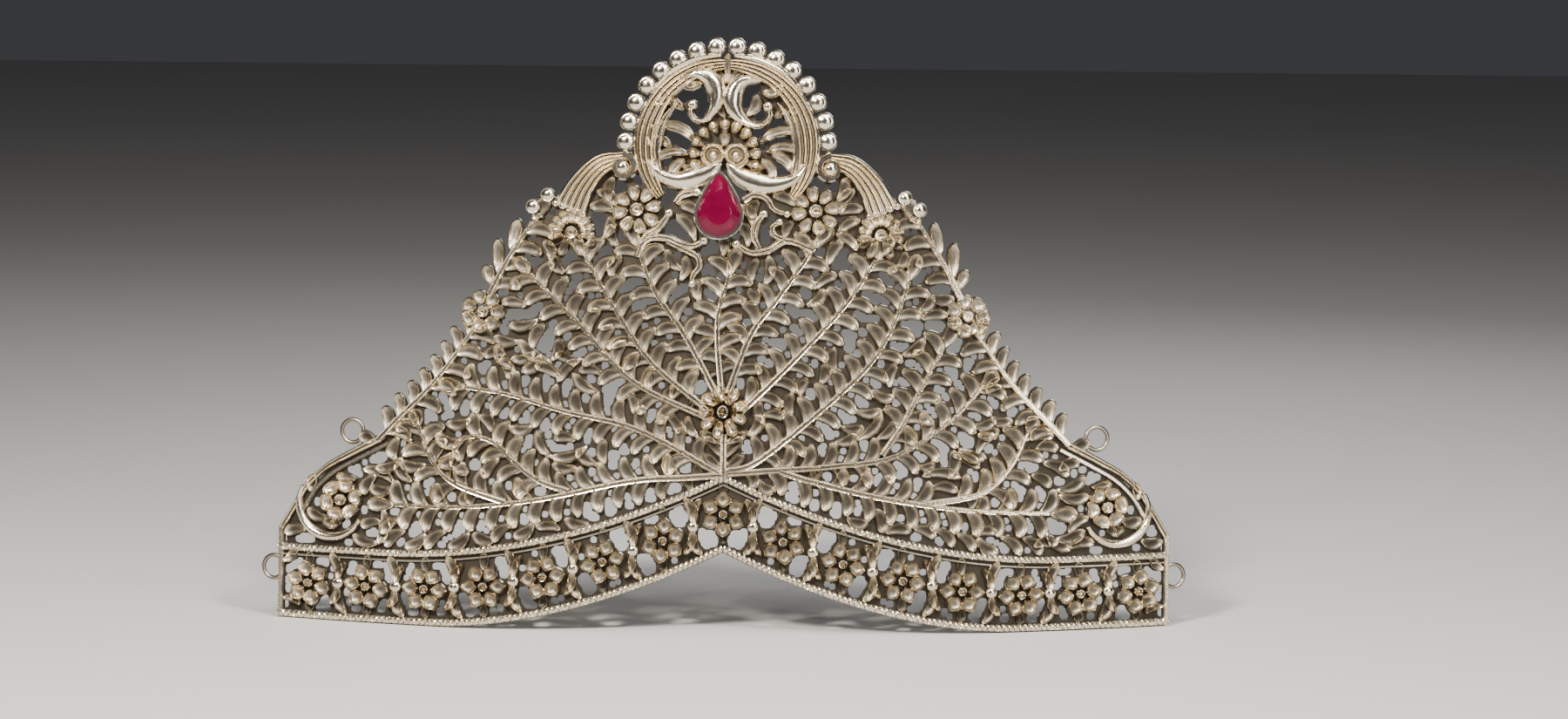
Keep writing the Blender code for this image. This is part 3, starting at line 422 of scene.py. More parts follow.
class Finish:
    """A material with one Principled shader, and the one method that makes its nodes."""

    def __init__(self, name, **constants):
        self.material = bpy.data.materials.new(name)
        self.material.use_nodes = True
        self.tree = self.material.node_tree
        self.shader = self.tree.nodes["Principled BSDF"]
        for key, value in constants.items():
            self.shader.inputs[key.replace("_", " ")].default_value = value

    def wire(self, kind, settings=None, links=None, output=0):
        """Makes a node, sets its settings and inputs, and gives one of its outputs."""
        node = self.tree.nodes.new(kind)
        for key, value in (settings or {}).items():
            setattr(node, key, value)
        for key, value in (links or {}).items():
            if isinstance(value, Wire):
                self.tree.links.new(value.socket, node.inputs[key])
            else:
                node.inputs[key].default_value = value
        return Wire(self, node.outputs[output])

    def feed(self, socket, wire):
        self.tree.links.new(wire.socket, self.shader.inputs[socket])

    def mixed(self, share, first, second):
        """One colour at share 0 and the other at share 1."""
        links = {0: share, 6: first, 7: second}
        return self.wire("ShaderNodeMix", {"data_type": "RGBA"}, links, output=2)

    def noise(self, scale, detail=3.0):
        place = self.wire("ShaderNodeTexCoord", output=3)
        links = {"Vector": place, "Scale": scale, "Detail": detail, "Roughness": 0.55}
        return self.wire("ShaderNodeTexNoise", {}, links)

    def scratch(self, scale, strength, depth):
        """Fine tool marks; their depth is in metres."""
        links = {"Strength": strength, "Distance": depth, "Height": self.noise(scale, 2.0)}
        self.feed("Normal", self.wire("ShaderNodeBump", {}, links))


# %% [markdown]
# Chased silver is never one colour. The ridges are rubbed bright, the walls are soft and warm, and
# brown-black oxide stays in the hollows. The low places are darkened further by painted shade, in
# the hollows and on the pierced ground, where little light would reach. The relief attribute says
# how high a point stands, and two noises, one broad and one fine, break up the edge between bright
# and dark. The flat back, at height 0, keeps only a thin cloud of oxide.


# %% The finishes
OXIDE_AND_SHADE_BELOW = 0.6
BRIGHT_ABOVE = 1.9
SPECKLE = 0.3
CLOUD = 0.4
BACK_OXIDE = 0.5
DULL_SILVER = (0.74, 0.64, 0.48, 1)
BRIGHT_SILVER = (0.93, 0.84, 0.68, 1)
# The dark of the hollows: real oxide, with painted shade laid over it.
OXIDE_AND_SHADE = (0.028, 0.023, 0.018, 1)
WORN_SILVER = (0.24, 0.21, 0.17, 1)


def chased_silver():
    finish = Finish("chased_silver", Metallic=1.0)
    relief = finish.wire("ShaderNodeAttribute", {"attribute_name": "relief"}, output=2)
    broad = finish.noise(60.0)
    fine = finish.noise(900.0, 4.0)
    height = relief + (fine - 0.5) * SPECKLE + (broad - 0.5) * CLOUD
    # Low places are painted dark: real oxide, plus painted shade in the recesses and on the pierced
    # ground.
    oxide_and_shade_mask = 1.0 - height.between(OXIDE_AND_SHADE_BELOW, BRIGHT_ABOVE)
    front = relief.between(0.0, 0.3)
    oxide_and_shade_mask = oxide_and_shade_mask * front + broad.between(0.3, 0.75) * BACK_OXIDE * (1.0 - front)
    warm = finish.mixed(broad, DULL_SILVER, BRIGHT_SILVER)
    finish.feed("Base Color", finish.mixed(oxide_and_shade_mask * 0.97, warm, OXIDE_AND_SHADE))
    finish.feed("Roughness", 0.12 + oxide_and_shade_mask * 0.4 + fine * 0.12)
    finish.scratch(2600.0, 0.25, 0.0002)
    return finish.material


def plain_silver(name, colour, low, high):
    """Silver without relief, between two roughnesses, worn dull in spots."""
    finish = Finish(name, Metallic=1.0)
    wear = finish.noise(220.0, 4.0)
    finish.feed("Base Color", finish.mixed(wear.between(0.35, 0.75), (*colour, 1), WORN_SILVER))
    finish.feed("Roughness", low + wear * (high - low))
    finish.scratch(1800.0, 0.15, 0.0001)
    return finish.material


def ruby():
    clear = {"IOR": 1.5, "Specular_IOR_Level": 0.25, "Transmission_Weight": 0.45}
    finish = Finish("ruby", Roughness=0.05, **clear)
    cloud = finish.noise(140.0)
    deep, light = (0.08, 0.001, 0.016, 1), (0.22, 0.004, 0.042, 1)
    finish.feed("Base Color", finish.mixed(cloud, deep, light))
    return finish.material


SILVER = chased_silver()
WIRE_SILVER = plain_silver("wire_silver", (0.36, 0.31, 0.24), 0.22, 0.42)
BEZEL_SILVER = plain_silver("bezel_silver", (0.88, 0.85, 0.79), 0.12, 0.3)
RUBY = ruby()
print("finishes made:", len(bpy.data.materials))

# %% [markdown]
# The ropes are raised bands cut by slanting strokes. The band's height goes up and down with the
# distance walked, shifted by the place across it, and the slant turns over at the centre.

# %% The two rope borders and the side ends
def both_sides(left):
    """A closed profile from its left half."""
    return [*left, *[(-x, z) for x, z in left[::-1]], (-1, 0)]


ROPE_PROFILE = both_sides([(-1, 0), (-1, 0.5), (-0.72, 0.84), (-0.25, 1.0)])
PLAIN_PROFILE = both_sides([(-1, 0), (-1, 0.55), (-0.5, 1.0)])
STEM_PROFILE = both_sides([(-1, 0), (-1, 0.5), (-0.74, 0.84), (-0.5, 0.8), (-0.22, 1.0)])
ROPE_HEIGHT = 1.8
STROKE = 1.55
STROKE_DEPTH = 1.15
UNDERLINE_DROP = 2.1
END_WIDTH = 1.8
END_TOP = 28.6


def strokes(walked, across):
    """Slanting cuts, deeper on the lower half of the rope."""
    wave = math.cos(2 * math.pi * (walked / STROKE - across * 0.5))
    depth = 0.8 - 0.4 * across if across < 0.5 else 0.45
    return -STROKE_DEPTH * max(0.0, wave) ** 3 * depth


def rope_line(edge, sign, step=0.2):
    """The middle of a rope, from the centre out to one end."""
    places = np.linspace(0, HALF_WIDTH - 0.05, round(HALF_WIDTH / step))
    return [(sign * u, edge(u) + ROPE_WIDTH / 2) for u in places]


ropes = Relief("rope_borders")
for sign in (1, -1):
    for edge in (lower_edge, upper_edge):
        ropes.band(rope_line(edge, sign), -sign * ROPE_WIDTH, ROPE_PROFILE, ROPE_HEIGHT, strokes)
    under = [(u, v - UNDERLINE_DROP) for u, v in rope_line(upper_edge, sign, 2.0)]
    ropes.band(under, 0.8, PLAIN_PROFILE, 1.2)
    side = sign * (HALF_WIDTH - END_WIDTH / 2)
    end = [(side, v) for v in np.linspace(lower_edge(side), END_TOP, 12)]
    ropes.band(end, END_WIDTH, PLAIN_PROFILE, 1.7)
ropes.finish(SILVER, "chased_silver", ["crown_plate"])

# %% [markdown]
# Between the ropes stands a row of six-petalled flowers, each turned a little further than the
# last. Short leaves hold a flower to both ropes, and a cross of slanting leaves on a small boss
# stands between two flowers. The gaps that are left are the piercings.

# %% The flower band
BAND_FLOWER = 6.8
CROSS_LEAVES = [(2.4, 3.4, 0.0), (-3.2, 2.6, 2.6)]
CROSS_BEND = 0.5
band = Relief("flower_band")
band_count = int((HALF_WIDTH - BAND_FLOWER + 1) / BAND_PITCH)


def rope_side(u, up, overlap):
    """The height at which a leaf of the band runs under the upper or the lower rope."""
    return upper_edge(u) + overlap if up > 0 else lower_edge(u) + ROPE_WIDTH - overlap


for i in range(-band_count, band_count + 1):
    u = i * BAND_PITCH
    centre = (u, middle_line(u) - 0.4)
    for up in (1, -1):
        start = (u, centre[1] + up * 4.2)
        reach = abs(rope_side(u, up, 0.3) - start[1])
        band.leaf(start, up * math.pi / 2, reach, 2.8, 1.3)
    look = {"height": 2.5, "heart": 0.2, "wide": 0.68, "punch": petal_punch}
    band.flower(centre, BAND_FLOWER, 6, turn=30 + 7 * i, **look)
    for k in range(6):
        band.boss(polar(centre, 0.75, math.radians(60 * k)), 0.36, 3.1, granule_punch)
for i in range(-band_count - 1, band_count + 1):
    mid = (i + 0.5) * BAND_PITCH
    if abs(mid) > HALF_WIDTH - 2:
        continue
    sign = 1 if i >= 0 else -1
    root = (mid, middle_line(mid))
    for up in (1, -1):
        for sideways, width, short in CROSS_LEAVES:
            goal = mid + up * sign * sideways
            tip = (goal, rope_side(goal, up, 0.4))
            bend = up * (CROSS_BEND if goal < mid else -CROSS_BEND)
            reach = math.dist(root, tip) - short
            band.leaf(root, heading(root, tip) - bend, reach, width, 2.0, bend=bend)
    band.boss(root, 1.7, 2.2)
for sign in (1, -1):
    for up in (1, -1):
        start = (sign * 127.0, middle_line(126.0) + up * 5.4)
        band.leaf(start, math.radians(90 + sign * 74), 6.0, 3.0, 1.9, bend=-sign * up * 0.5)
band.finish(SILVER, "chased_silver")

# %% [markdown]
# The field is a fan of fronds. Their stems are listed, and the leaves grow from them on
# alternate sides: each one reaches forward until it meets the next frond, so the tips hold the
# openwork together as the real cut silver does.

# %% Stems of the fan
STEMS = [
    [(-0.4, 45.4), (-10.0, 44.6), (-26.3, 43.4), (-52.5, 37.8), (-74.5, 35.3), (-93.8, 35.6)],
    [(-43.8, 40.2), (-52.5, 43.2), (-59.5, 48.4), (-65.5, 54.0), (-73.0, 55.4), (-77.0, 51.0)],
    [(-62.0, 36.8), (-76.3, 41.8), (-83.3, 48.5), (-87.0, 58.0)],
    [(-1.3, 45.8), (-15.5, 53.8), (-28.3, 59.3), (-45.3, 63.0), (-61.3, 67.6), (-73.5, 69.5)],
    [(-4.6, 61.4), (-25.5, 71.5), (-40.3, 86.8), (-55.5, 102.0)],
    [(-5.0, 64.0), (-20.5, 77.0), (-31.0, 92.0), (-39.8, 107.0)],
    [(-2.0, 68.0), (-11.0, 84.5), (-20.0, 97.5), (-25.0, 110.0)],
    [(-0.8, 69.0), (-2.0, 83.0), (-1.8, 92.0), (1.0, 102.0)],
    [(1.0, 68.5), (7.2, 85.0), (14.4, 95.0), (25.0, 110.0)],
    [(5.0, 63.5), (18.5, 77.0), (34.0, 94.0), (42.5, 107.0)],
    [(0.6, 46.4), (9.0, 49.0), (25.5, 62.3), (40.0, 76.0), (47.0, 87.0), (52.0, 101.0)],
    [(44.8, 51.4), (50.5, 60.0), (55.5, 70.0), (62.0, 82.0)],
    [(1.0, 45.8), (12.0, 46.6), (30.0, 48.0), (48.3, 51.0), (64.0, 61.0), (73.0, 70.5)],
    [(58.0, 37.6), (73.8, 40.8), (81.8, 48.3), (86.5, 58.0)],
    [(16.0, 46.6), (25.5, 43.6), (46.0, 39.0), (70.0, 35.8), (93.0, 35.0)],
]
EDGE_STEM = [(98.4, 54.7), (92.0, 61.4), (85.0, 68.4), (79.5, 74.9), (74.5, 82.0), (71.5, 86.0)]
EDGE_TOP_STEM = [(67.0, 96.0), (62.7, 104.5), (58.6, 111.0), (55.0, 117.0)]
EDGE_FLOWER_AT = (69.0, 91.2)
TOP_LEAVES = [
    ((65.8, 98.6), (68.6, 104.6)),
    ((64.6, 101.8), (64.8, 112.4)),
    ((61.2, 108.4), (58.8, 118.0)),
]
LOBE = [(127.5, 28.4), (123.8, 34.5), (119.6, 41.2), (114.2, 46.2), (107.5, 50.0), (98.4, 54.7)]
STEM_STEP = 1.6
STEM_HALF = 0.9
LEAF_PITCH = 6.1
LEAF_LENGTH = 8.6
LEAF_LEAST = 2.6
LEAF_MOST = 10.0
LEAF_CLEAR = 0.3
LEAF_WIDTH = 4.7
LEAF_ANGLE = math.radians(14)
LEAF_BEND = math.radians(44)


class Growth:
    """Keeps the spines that leaves grow from and out to, and the leaves that have grown.

    A row of points is a place on a spine, the spine's half width and its number.
    """

    def __init__(self):
        self.spines = []
        self.grown = []
        self.points = np.zeros((0, 4))

    def spine(self, path, half):
        own = len(self.spines)
        path = np.asarray(path, float)
        self.spines.append(path)
        marks = np.tile((half, own), (len(path), 1))
        self.points = np.concatenate([self.points, np.hstack([path, marks])])
        return own

    def room(self, point, own):
        """The distance from a point to the nearest spine other than its own."""
        others = self.points[self.points[:, 3] != own]
        away = np.hypot(others[:, 0] - point[0], others[:, 1] - point[1])
        return float((away - others[:, 2]).min())

    def reach(self, base, angle, own, most):
        """A leaf's length: out to the next spine, or its usual length where none is near."""
        length = LEAF_LEAST
        while length < most:
            if self.room(polar(base, length, angle), own) < LEAF_CLEAR:
                return length
            length += 0.5
        return min(LEAF_LENGTH, most)

    def leaves(self, own, start=0.0, sides=(1, -1)):
        """Leaves on alternate sides of a spine, each arching outwards, and one at its tip."""
        path = self.spines[own]
        walked = walk(path)
        places = np.arange(max(start, 1.6), walked[-1] - 1.0, LEAF_PITCH / 2)
        for k, place in enumerate(places):
            side = 1 if k % 2 else -1
            if side not in sides:
                continue
            base = (np.interp(place, walked, path[:, 0]), np.interp(place, walked, path[:, 1]))
            i = min(int(np.searchsorted(walked, place)), len(path) - 1) - 1
            along = heading(path[i], path[i + 1])
            length = self.reach(base, along + side * (LEAF_ANGLE + LEAF_BEND), own, LEAF_MOST)
            if length > LEAF_LEAST:
                self.grown.append((base, along + side * LEAF_ANGLE, length, LEAF_BEND * side))
        end = heading(path[-2], path[-1])
        length = self.reach(tuple(path[-1]), end, own, LEAF_LENGTH)
        self.grown.append((tuple(path[-1]), end, length, 0.0))


fan = Growth()
for sign in (1, -1):
    fan.spine(smooth_path(flipped(LOBE, sign), 1.5), STEM_HALF)
rope_places = np.arange(-HALF_WIDTH, HALF_WIDTH, 1.5)
fan.spine([(u, upper_edge(u) + ROPE_WIDTH / 2) for u in rope_places], ROPE_WIDTH / 2)
first = len(fan.spines)
for stem in STEMS:
    fan.spine(smooth_path(stem, STEM_STEP), STEM_HALF)
edges = []
for sign in (1, -1):
    for stem in (EDGE_STEM, EDGE_TOP_STEM):
        edges.append((fan.spine(smooth_path(flipped(stem, sign), STEM_STEP), 1.0), sign))
for own in range(first, first + len(STEMS)):
    fan.leaves(own, start=5.0)
for own, sign in edges:
    fan.leaves(own, sides=(sign,))
print("leaves grown on the fan:", len(fan.grown))

# %% [markdown]
# The crest, shoulders and corners are single motifs, drawn one by one. They come before the last
# small leaves, because those only fill what the motifs leave open.


# %% The crest: beads, a fluted rim, scrolls and two eyes
def fluted(ridges):
    """The profile of a band with so many parallel ridges."""
    profile = [(-1, 0), (-1, 0.45)]
    for i in range(ridges):
        middle = -1 + (2 * i + 1) / ridges
        profile += [(middle - 0.55 / ridges, 0.88), (middle, 1.0), (middle + 0.55 / ridges, 0.88)]
        if i < ridges - 1:
            profile.append((middle + 1 / ridges, 0.4))
    return [*profile, (1, 0.45), (1, 0), (-1, 0)]


CREST = (0.0, 138.4)
CREST_RADIUS = 28.7
BEAD_RADIUS = 2.8
BEAD_COUNT = 16
VOLUTES = [
    [(-13.4, 158.7), (-8.6, 159.4), (-5.2, 158.2), (-3.1, 155.3), (-2.9, 152.0)]
    + [(-4.1, 148.6), (-6.2, 146.0), (-9.1, 146.3), (-10.5, 148.6), (-9.8, 150.5)],
    [(9.6, 157.4), (4.8, 157.4), (2.4, 155.3), (1.5, 152.0), (2.4, 148.6)]
    + [(4.8, 146.0), (7.7, 144.8), (10.5, 145.3), (12.2, 147.7), (11.5, 150.1)],
]
VOLUTE_WIDTHS = [1.2, 3.0, 5.0, 6.0, 4.8, 3.0, 2.0, 1.8, 1.8]
COLLARS = [
    [(-1.9, 134.2), (-4.5, 131.6), (-8.5, 129.9), (-14.0, 128.9), (-19.0, 130.6), (-22.6, 134.5)],
    [(0.6, 134.2), (2.8, 131.2), (7.2, 128.9), (13.0, 128.0), (19.0, 129.8), (22.6, 134.0)],
]
COLLAR_WIDTHS = [2.4, 5.8, 6.6, 5.0, 3.4, 1.6]
CREST_LEAVES = [
    ((-20.8, 149.8), 48, 8.8, -52),
    ((-21.4, 143.4), 34, 13.6, -50),
    ((-21.8, 138.4), 62, 6.4, -60),
    ((-20.5, 133.0), 74, 10.6, -56),
    ((-15.0, 128.6), 108, 7.4, -44),
    ((-9.4, 128.8), 70, 5.4, 50),
    ((-14.2, 158.6), -64, 7.6, 46),
    ((20.8, 147.8), 134, 7.8, 50),
    ((21.4, 141.4), 138, 12.6, 50),
    ((21.2, 135.6), 116, 10.6, 56),
    ((18.4, 131.0), 92, 8.4, 44),
    ((12.6, 128.4), 66, 7.6, 46),
    ((7.8, 129.0), 110, 5.4, -50),
    ((15.6, 156.8), -108, 7.0, -46),
]
TOP_SCROLL = [(2.0, 164.6), (9.0, 163.4), (16.0, 159.9), (21.0, 154.6)]
EYE_OUT = 3.2
HEART = (-0.6, 136.2)
COLLAR_RISE = [(-0.7, 0.85), (-0.2, 1.0), (0.35, 0.9), (0.8, 0.6), (1, 0.3)]
COLLAR_PROFILE = [(-1, 0), (-1, 0.4), *COLLAR_RISE, (1, 0), (-1, 0)]
PALMETTE = 11
crest = Relief("crest")
for bead in arc(CREST, CREST_RADIUS, CREST_RADIUS, 4, 177, BEAD_COUNT - 1):
    crest.boss(tuple(bead), BEAD_RADIUS, 2.5, bead_punch)
for sign in (1, -1):
    flutes = arc(CREST, 23.3, 23.5, 90 - sign * 127, 90 - sign * 2, 54)
    crest.band(flutes, [3.0, 5.4, 6.4, 6.2, 5.6, 4.8, 3.2], fluted(4), [2.4, 2.9, 2.9, 2.6])
    inner = arc(CREST, 20.2, 19.0, 90 - sign * 122, 90 - sign * 48, 26)
    crest.band(inner, [0.8, 2.2, 2.8, 2.4, 0.8], COLLAR_PROFILE, 2.9)
    top = smooth_path(flipped(TOP_SCROLL, sign), 0.9)
    crest.band(top, [1.4, 2.4, 2.2, 1.2], COLLAR_PROFILE, 3.0)
    eye = (HEART[0] + sign * EYE_OUT, HEART[1])
    coil = arc(eye, 3.1, 2.6, 90 - sign * 178, 90 + sign * 150, 60)
    crest.band(coil, [2.0, 1.4], COLLAR_PROFILE, 3.9)
    crest.boss(eye, 2.3, 1.5)
    crest.boss(eye, 1.2, 3.6)
crest.leaf((HEART[0], HEART[1] + 2.2), math.pi / 2, 4.6, 3.4, 2.4)
for volute, collar in zip(VOLUTES, COLLARS):
    path = smooth_path(volute, 0.8)
    crest.band(path, VOLUTE_WIDTHS, COLLAR_PROFILE, [2.6, 3.4, 3.6, 3.2, 2.6])
    crest.boss(tuple(path[-1]), 1.5, 2.7)
    crest.band(smooth_path(collar, 0.8), COLLAR_WIDTHS, COLLAR_PROFILE, [3.0, 3.4, 3.2, 2.8])
for root, turn, length, bend in CREST_LEAVES:
    bent_by = {"bend": math.radians(bend), "tilt": -0.008 * bend}
    crest.leaf(root, math.radians(turn), length, 3.6, 2.5, **bent_by)
for k in range(PALMETTE):
    turn = math.radians(-18 + 21.6 * k)
    crest.leaf(polar(HEART, 6.3, turn), turn, 4.1, 3.3, 2.5, curl=0.1, punch=lobe_punch)
    crest.boss(polar(HEART, 9.2, turn), 1.0, 3.0)
for turn, length in ((90, 9.0), (55, 8.0), (125, 8.0)):
    bend = math.radians((90 - turn) * -0.4)
    crest.leaf((0, 156.4), math.radians(turn), length, 2.8, 1.9, bend=bend)
for sign in (1, -1):
    crest.leaf((sign * 0.4, 146.5), math.radians(90 - sign * 35), 5.0, 2.4, 1.8)
crest.finish(SILVER, "chased_silver", ["crown_plate"])

# %% [markdown]
# The shoulders join the crest to the fronds: a fluted shell, a flower and a daisy on each side,
# and thin sprays that curl round the stone.

# %% The shoulders: shells, flowers and sprays round the stone
STONE = (-2.1, 119.3)
SHELL = [(28.6, 135.4), (35.7, 133.2), (40.9, 127.7), (44.6, 120.6)]
SPRAYS = {
    -1: [
        ([(-25.0, 107.4), (-22.7, 112.9), (-19.3, 115.2), (-17.4, 117.8), (-16.2, 119.7)], 2.6),
        (
            [(-24.3, 110.2), (-21.2, 112.5), (-16.6, 112.5)]
            + [(-12.8, 110.9), (-9.0, 110.4), (-6.3, 111.9)],
            2.6,
        ),
        (
            [(-16.6, 111.7), (-12.0, 109.4), (-8.2, 107.5)]
            + [(-7.4, 104.8), (-9.3, 101.8), (-9.5, 99.5)],
            2.2,
        ),
        ([(-14.4, 122.6), (-12.4, 124.9), (-8.4, 125.6)], 2.6),
    ],
    1: [
        ([(24.5, 109.6), (17.1, 112.1), (12.1, 109.4), (7.1, 108.6), (2.9, 111.0)], 2.6),
        ([(9.4, 109.8), (8.0, 113.4), (8.6, 116.8), (10.6, 119.6)], 2.6),
        ([(17.1, 112.1), (13.8, 113.6), (13.0, 115.8), (15.1, 117.4)], 2.2),
        ([(4.9, 123.4), (7.8, 125.0), (11.3, 124.0), (13.6, 120.9), (17.2, 119.6)], 2.2),
    ],
}
shoulders = Relief("shoulders")
for sign in (1, -1):
    shell = smooth_path(flipped(SHELL, sign), 0.9)
    shoulders.band(shell, [3.4, 6.0, 7.0, 8.2, 9.8], fluted(5), [2.4, 3.0, 3.0, 2.4])
    for k in range(5):
        shoulders.boss((sign * (40.7 + 1.9 * k), 119.2 + 0.75 * k), 1.15, 2.2)
    eye = (sign * 29.4, 132.6)
    shoulders.band(arc(eye, 3.6, 1.6, 90, 90 + sign * 400, 40), [3.0, 1.6], PLAIN_PROFILE, 2.8)
    shoulders.boss(eye, 2.0, 3.2)
    for u, v in ((55.0, 121.3), (50.8, 124.6)):
        shoulders.boss((sign * u, v), 2.2, 2.2, bead_punch)
        shoulders.leaf((sign * (u - 3.2), v - 3.4), math.radians(90 - sign * 44), 4.6, 2.4, 1.7)
    shoulders.flower((sign * 25.3, 120.6), 7.2, 8, turn=10, height=2.4, wide=0.72, heart=0.28)
    daisy = (sign * 43.8, 113.9)
    for k in range(9):
        turn = math.radians(-10 + 25 * k)
        shoulders.leaf(polar(daisy, 2.3, turn), turn, 4.6, 2.7, 2.6, curl=0.1, punch=lobe_punch)
    shoulders.boss(daisy, 1.9, 3.0, eye_punch)
    for turn in (-28, 208, -62, 242):
        angle = math.radians(turn)
        shoulders.leaf(polar(daisy, 1.6, angle), angle, 6.0, 3.0, 1.8)
    for points, width in SPRAYS[sign]:
        path = smooth_path(points, 0.9)
        shoulders.band(path, [width * 0.7, width, width * 0.7], fluted(2), 2.3)
        shoulders.boss(tuple(path[-1]), width * 0.5, 2.5)
        fan.spine(path, width / 2)
    fan.spine(shell, 1.6)
shoulders.finish(SILVER, "chased_silver")

# %% [markdown]
# Each lower corner is a lobe with a double rim. A round flower sits in it, inside a C-scroll, with
# four small leaves between the scroll and the rim.

# %% The corners: a round flower inside a C-scroll, and the rim of the lobe
CORNER_LEAVES = [
    ((119.0, 38.6), 100, 5.6),
    ((112.4, 28.2), 60, 4.0),
    ((112.4, 28.2), 120, 4.0),
    ((105.0, 42.6), 10, 6.4),
]
corners = Relief("corner_lobes")
for sign in (1, -1):
    corners.band(smooth_path(flipped(LOBE, sign), 1.2), [1.8, 1.8, 2.4], fluted(2), 1.9)
    inner = [(u - 2.4, v - 1.4) for u, v in LOBE[1:]]
    corners.band(smooth_path(flipped(inner, sign), 1.2), 1.5, PLAIN_PROFILE, 1.6)
    corners.flower((sign * 109.7, 36.8), 6.2, 6, turn=10, height=2.5, heart=0.28, wide=0.84)
    scroll = arc((112.4, 35.6), 9.8, 9.2, 30, -152, 34)
    corners.band(flipped(scroll, sign), [1.4, 2.4, 3.2, 2.6, 1.4], COLLAR_PROFILE, 2.6)
    for (u, v), turn, length in CORNER_LEAVES:
        corners.leaf((sign * u, v), flipped_turn(turn, sign), length, 2.8, 2.0)
corners.finish(SILVER, "chased_silver")

# %% [markdown]
# Now the fronds themselves. A stem is a doubled ridge with a groove between, so a band with that
# profile is swept along each path and its grown leaves are stamped beside it. The leafy side edge
# also carries free leaves on its outer side, which give the silhouette its saw-toothed line.

# %% Fronds and their leaves
OUTER_LEAVES = 8
FAN_HEART = (-0.4, 63.4)
ROOT_LEAVES = [(46.5, 40, 8.0), (50.0, 52, 8.5), (54.0, 30, 8.0)]
fronds = {-1: Relief("fronds_left"), 1: Relief("fronds_right")}


def half_of(u):
    return fronds[1 if u > 0 else -1]


for own in range(first, len(fan.spines)):
    path = fan.spines[own]
    half_of(path[:, 0].mean()).band(path, [2.4, 1.3], STEM_PROFILE, [2.3, 1.9])
for base, angle, length, bend in fan.grown:
    half_of(base[0]).leaf(base, angle, length, LEAF_WIDTH, 1.8, bend=bend, tilt=-0.9 * bend)
for own, sign in edges[::2]:
    path = fan.spines[own]
    for k in range(OUTER_LEAVES):
        place = (k + 0.5) / OUTER_LEAVES * (len(path) - 1)
        i = int(place)
        base = path[i] + (path[i + 1] - path[i]) * (place - i)
        angle = heading(path[i], path[i + 1]) - sign * math.radians(24)
        half_of(sign).leaf(base, angle, 7.6, 3.8, 1.9, bend=-0.4 * sign, punch=lobe_punch)
for sign in (1, -1):
    half = half_of(sign)
    half.flower((sign * EDGE_FLOWER_AT[0], EDGE_FLOWER_AT[1]), 6.4, 7, height=2.0)
    for leaf in TOP_LEAVES:
        base, tip = flipped(leaf, sign)
        half.leaf(base, heading(base, tip), math.dist(base, tip), 3.7, 2.0, punch=lobe_punch)
    lug, ring = flipped([(99.5, 53.6), RING_UPPER], sign)
    half.leaf(lug, heading(lug, ring), math.dist(lug, ring) - 2.7, 4.2, 1.5)
    for v, turn, length in ROOT_LEAVES:
        half.leaf((0, v), flipped_turn(turn, sign), length, 3.2, 1.7)
middle = half_of(1)
middle.band([(0, 45), (0, 50.5), (0, 57)], 2.4, STEM_PROFILE, 2.2)
middle.flower(FAN_HEART, 7.0, 9, turn=18, height=3.0, stretch=1.15, wide=0.78)
middle.flower(FAN_HEART, 4.2, 6, height=3.8, stretch=1.2, heart=0.4)
for k in range(8):
    middle.boss(polar(FAN_HEART, 1.0, math.radians(45 * k)), 0.42, 4.6, granule_punch)

# %% [markdown]
# The places that stay open too wide get one more small leaf each, as a chaser would add one. A
# search tree over everything drawn so far gives the distance from any spot to the nearest silver.
# The crest keeps wider openings than the field.

# %% Small leaves in the widest gaps
CREST_FROM = 125.0
CREST_EASE = 0.7
GRAIN = 0.4
SPOT_STEP = 1.2
GAP = 1.6
MOST_LEAVES = 420
LONGEST_RUN = 7.0
LONGEST_AHEAD = 4.5
MET = 0.45
COVERED = 1.1
HOOK = 0.55
FAN_ROOT = (0.0, 46.0)


def inside(points, outline):
    """Which of many points lie inside an outline, by counting the edges to their right."""
    crossings = np.zeros(len(points), int)
    for start, end in zip(outline, np.roll(outline, -1, axis=0)):
        if start[1] != end[1]:
            beside = (start[1] <= points[:, 1]) != (end[1] <= points[:, 1])
            where = start[0] + (points[:, 1] - start[1]) / (end[1] - start[1]) * (end[0] - start[0])
            crossings += beside & (where > points[:, 0])
    return crossings % 2 == 1


side_line = [(127.6, 28.4), *LOBE[1:], *EDGE_STEM[1:], EDGE_FLOWER_AT, *EDGE_TOP_STEM]
side_line += [(51.0, 123.0), *SHELL[::-1]]
crest_line = arc(CREST, 23.7, 23.7, -6, 186, 40)
rest_of_line = [*side_line, *crest_line, *flipped(side_line, -1)[::-1]]


def rope_run(edge):
    return [(u, edge(u) + ROPE_WIDTH / 2) for u in np.linspace(-127.6, 127.6, 120)]


def tree_of(places):
    """A search tree over flat places, ready to be asked for the nearest one."""
    tree = KDTree(len(places))
    for i, place in enumerate(places):
        tree.insert((place[0], place[1], 0.0), i)
    tree.balance()
    return tree


def silver_tree():
    """A search tree over every point drawn so far."""
    live = [(vert.co.x, vert.co.y) for relief in fronds.values() for vert in relief.bm.verts]
    drawn = np.array(flat_points + live + stone_spots)
    return tree_of(np.unique(np.round(drawn / GRAIN).astype(int), axis=0) * GRAIN)


def from_silver(places):
    return np.array([silver.find((u, v, 0.0))[2] for u, v in places])


def apart(places, others):
    """The distance from each place to the nearest of the others."""
    ways = places[:, None, :] - np.array(others)[None]
    return np.hypot(*ways.transpose(2, 0, 1)).min(1)


stone_spots = [
    (STONE[0] + u, STONE[1] + v)
    for u in range(-5, 6)
    for v in range(-5, 10)
    if abs(u) < 7 - v / 2
]
silver = silver_tree()
field = np.array(rope_run(upper_edge) + rest_of_line)
columns, rows = np.arange(-126, 127, SPOT_STEP), np.arange(14, 165, SPOT_STEP)
spots = np.array([(u, v) for u in columns for v in rows])
spots = spots[inside(spots, field)]
gaps = from_silver(spots) - np.where(spots[:, 1] > CREST_FROM, CREST_EASE, 0.0)
added = []


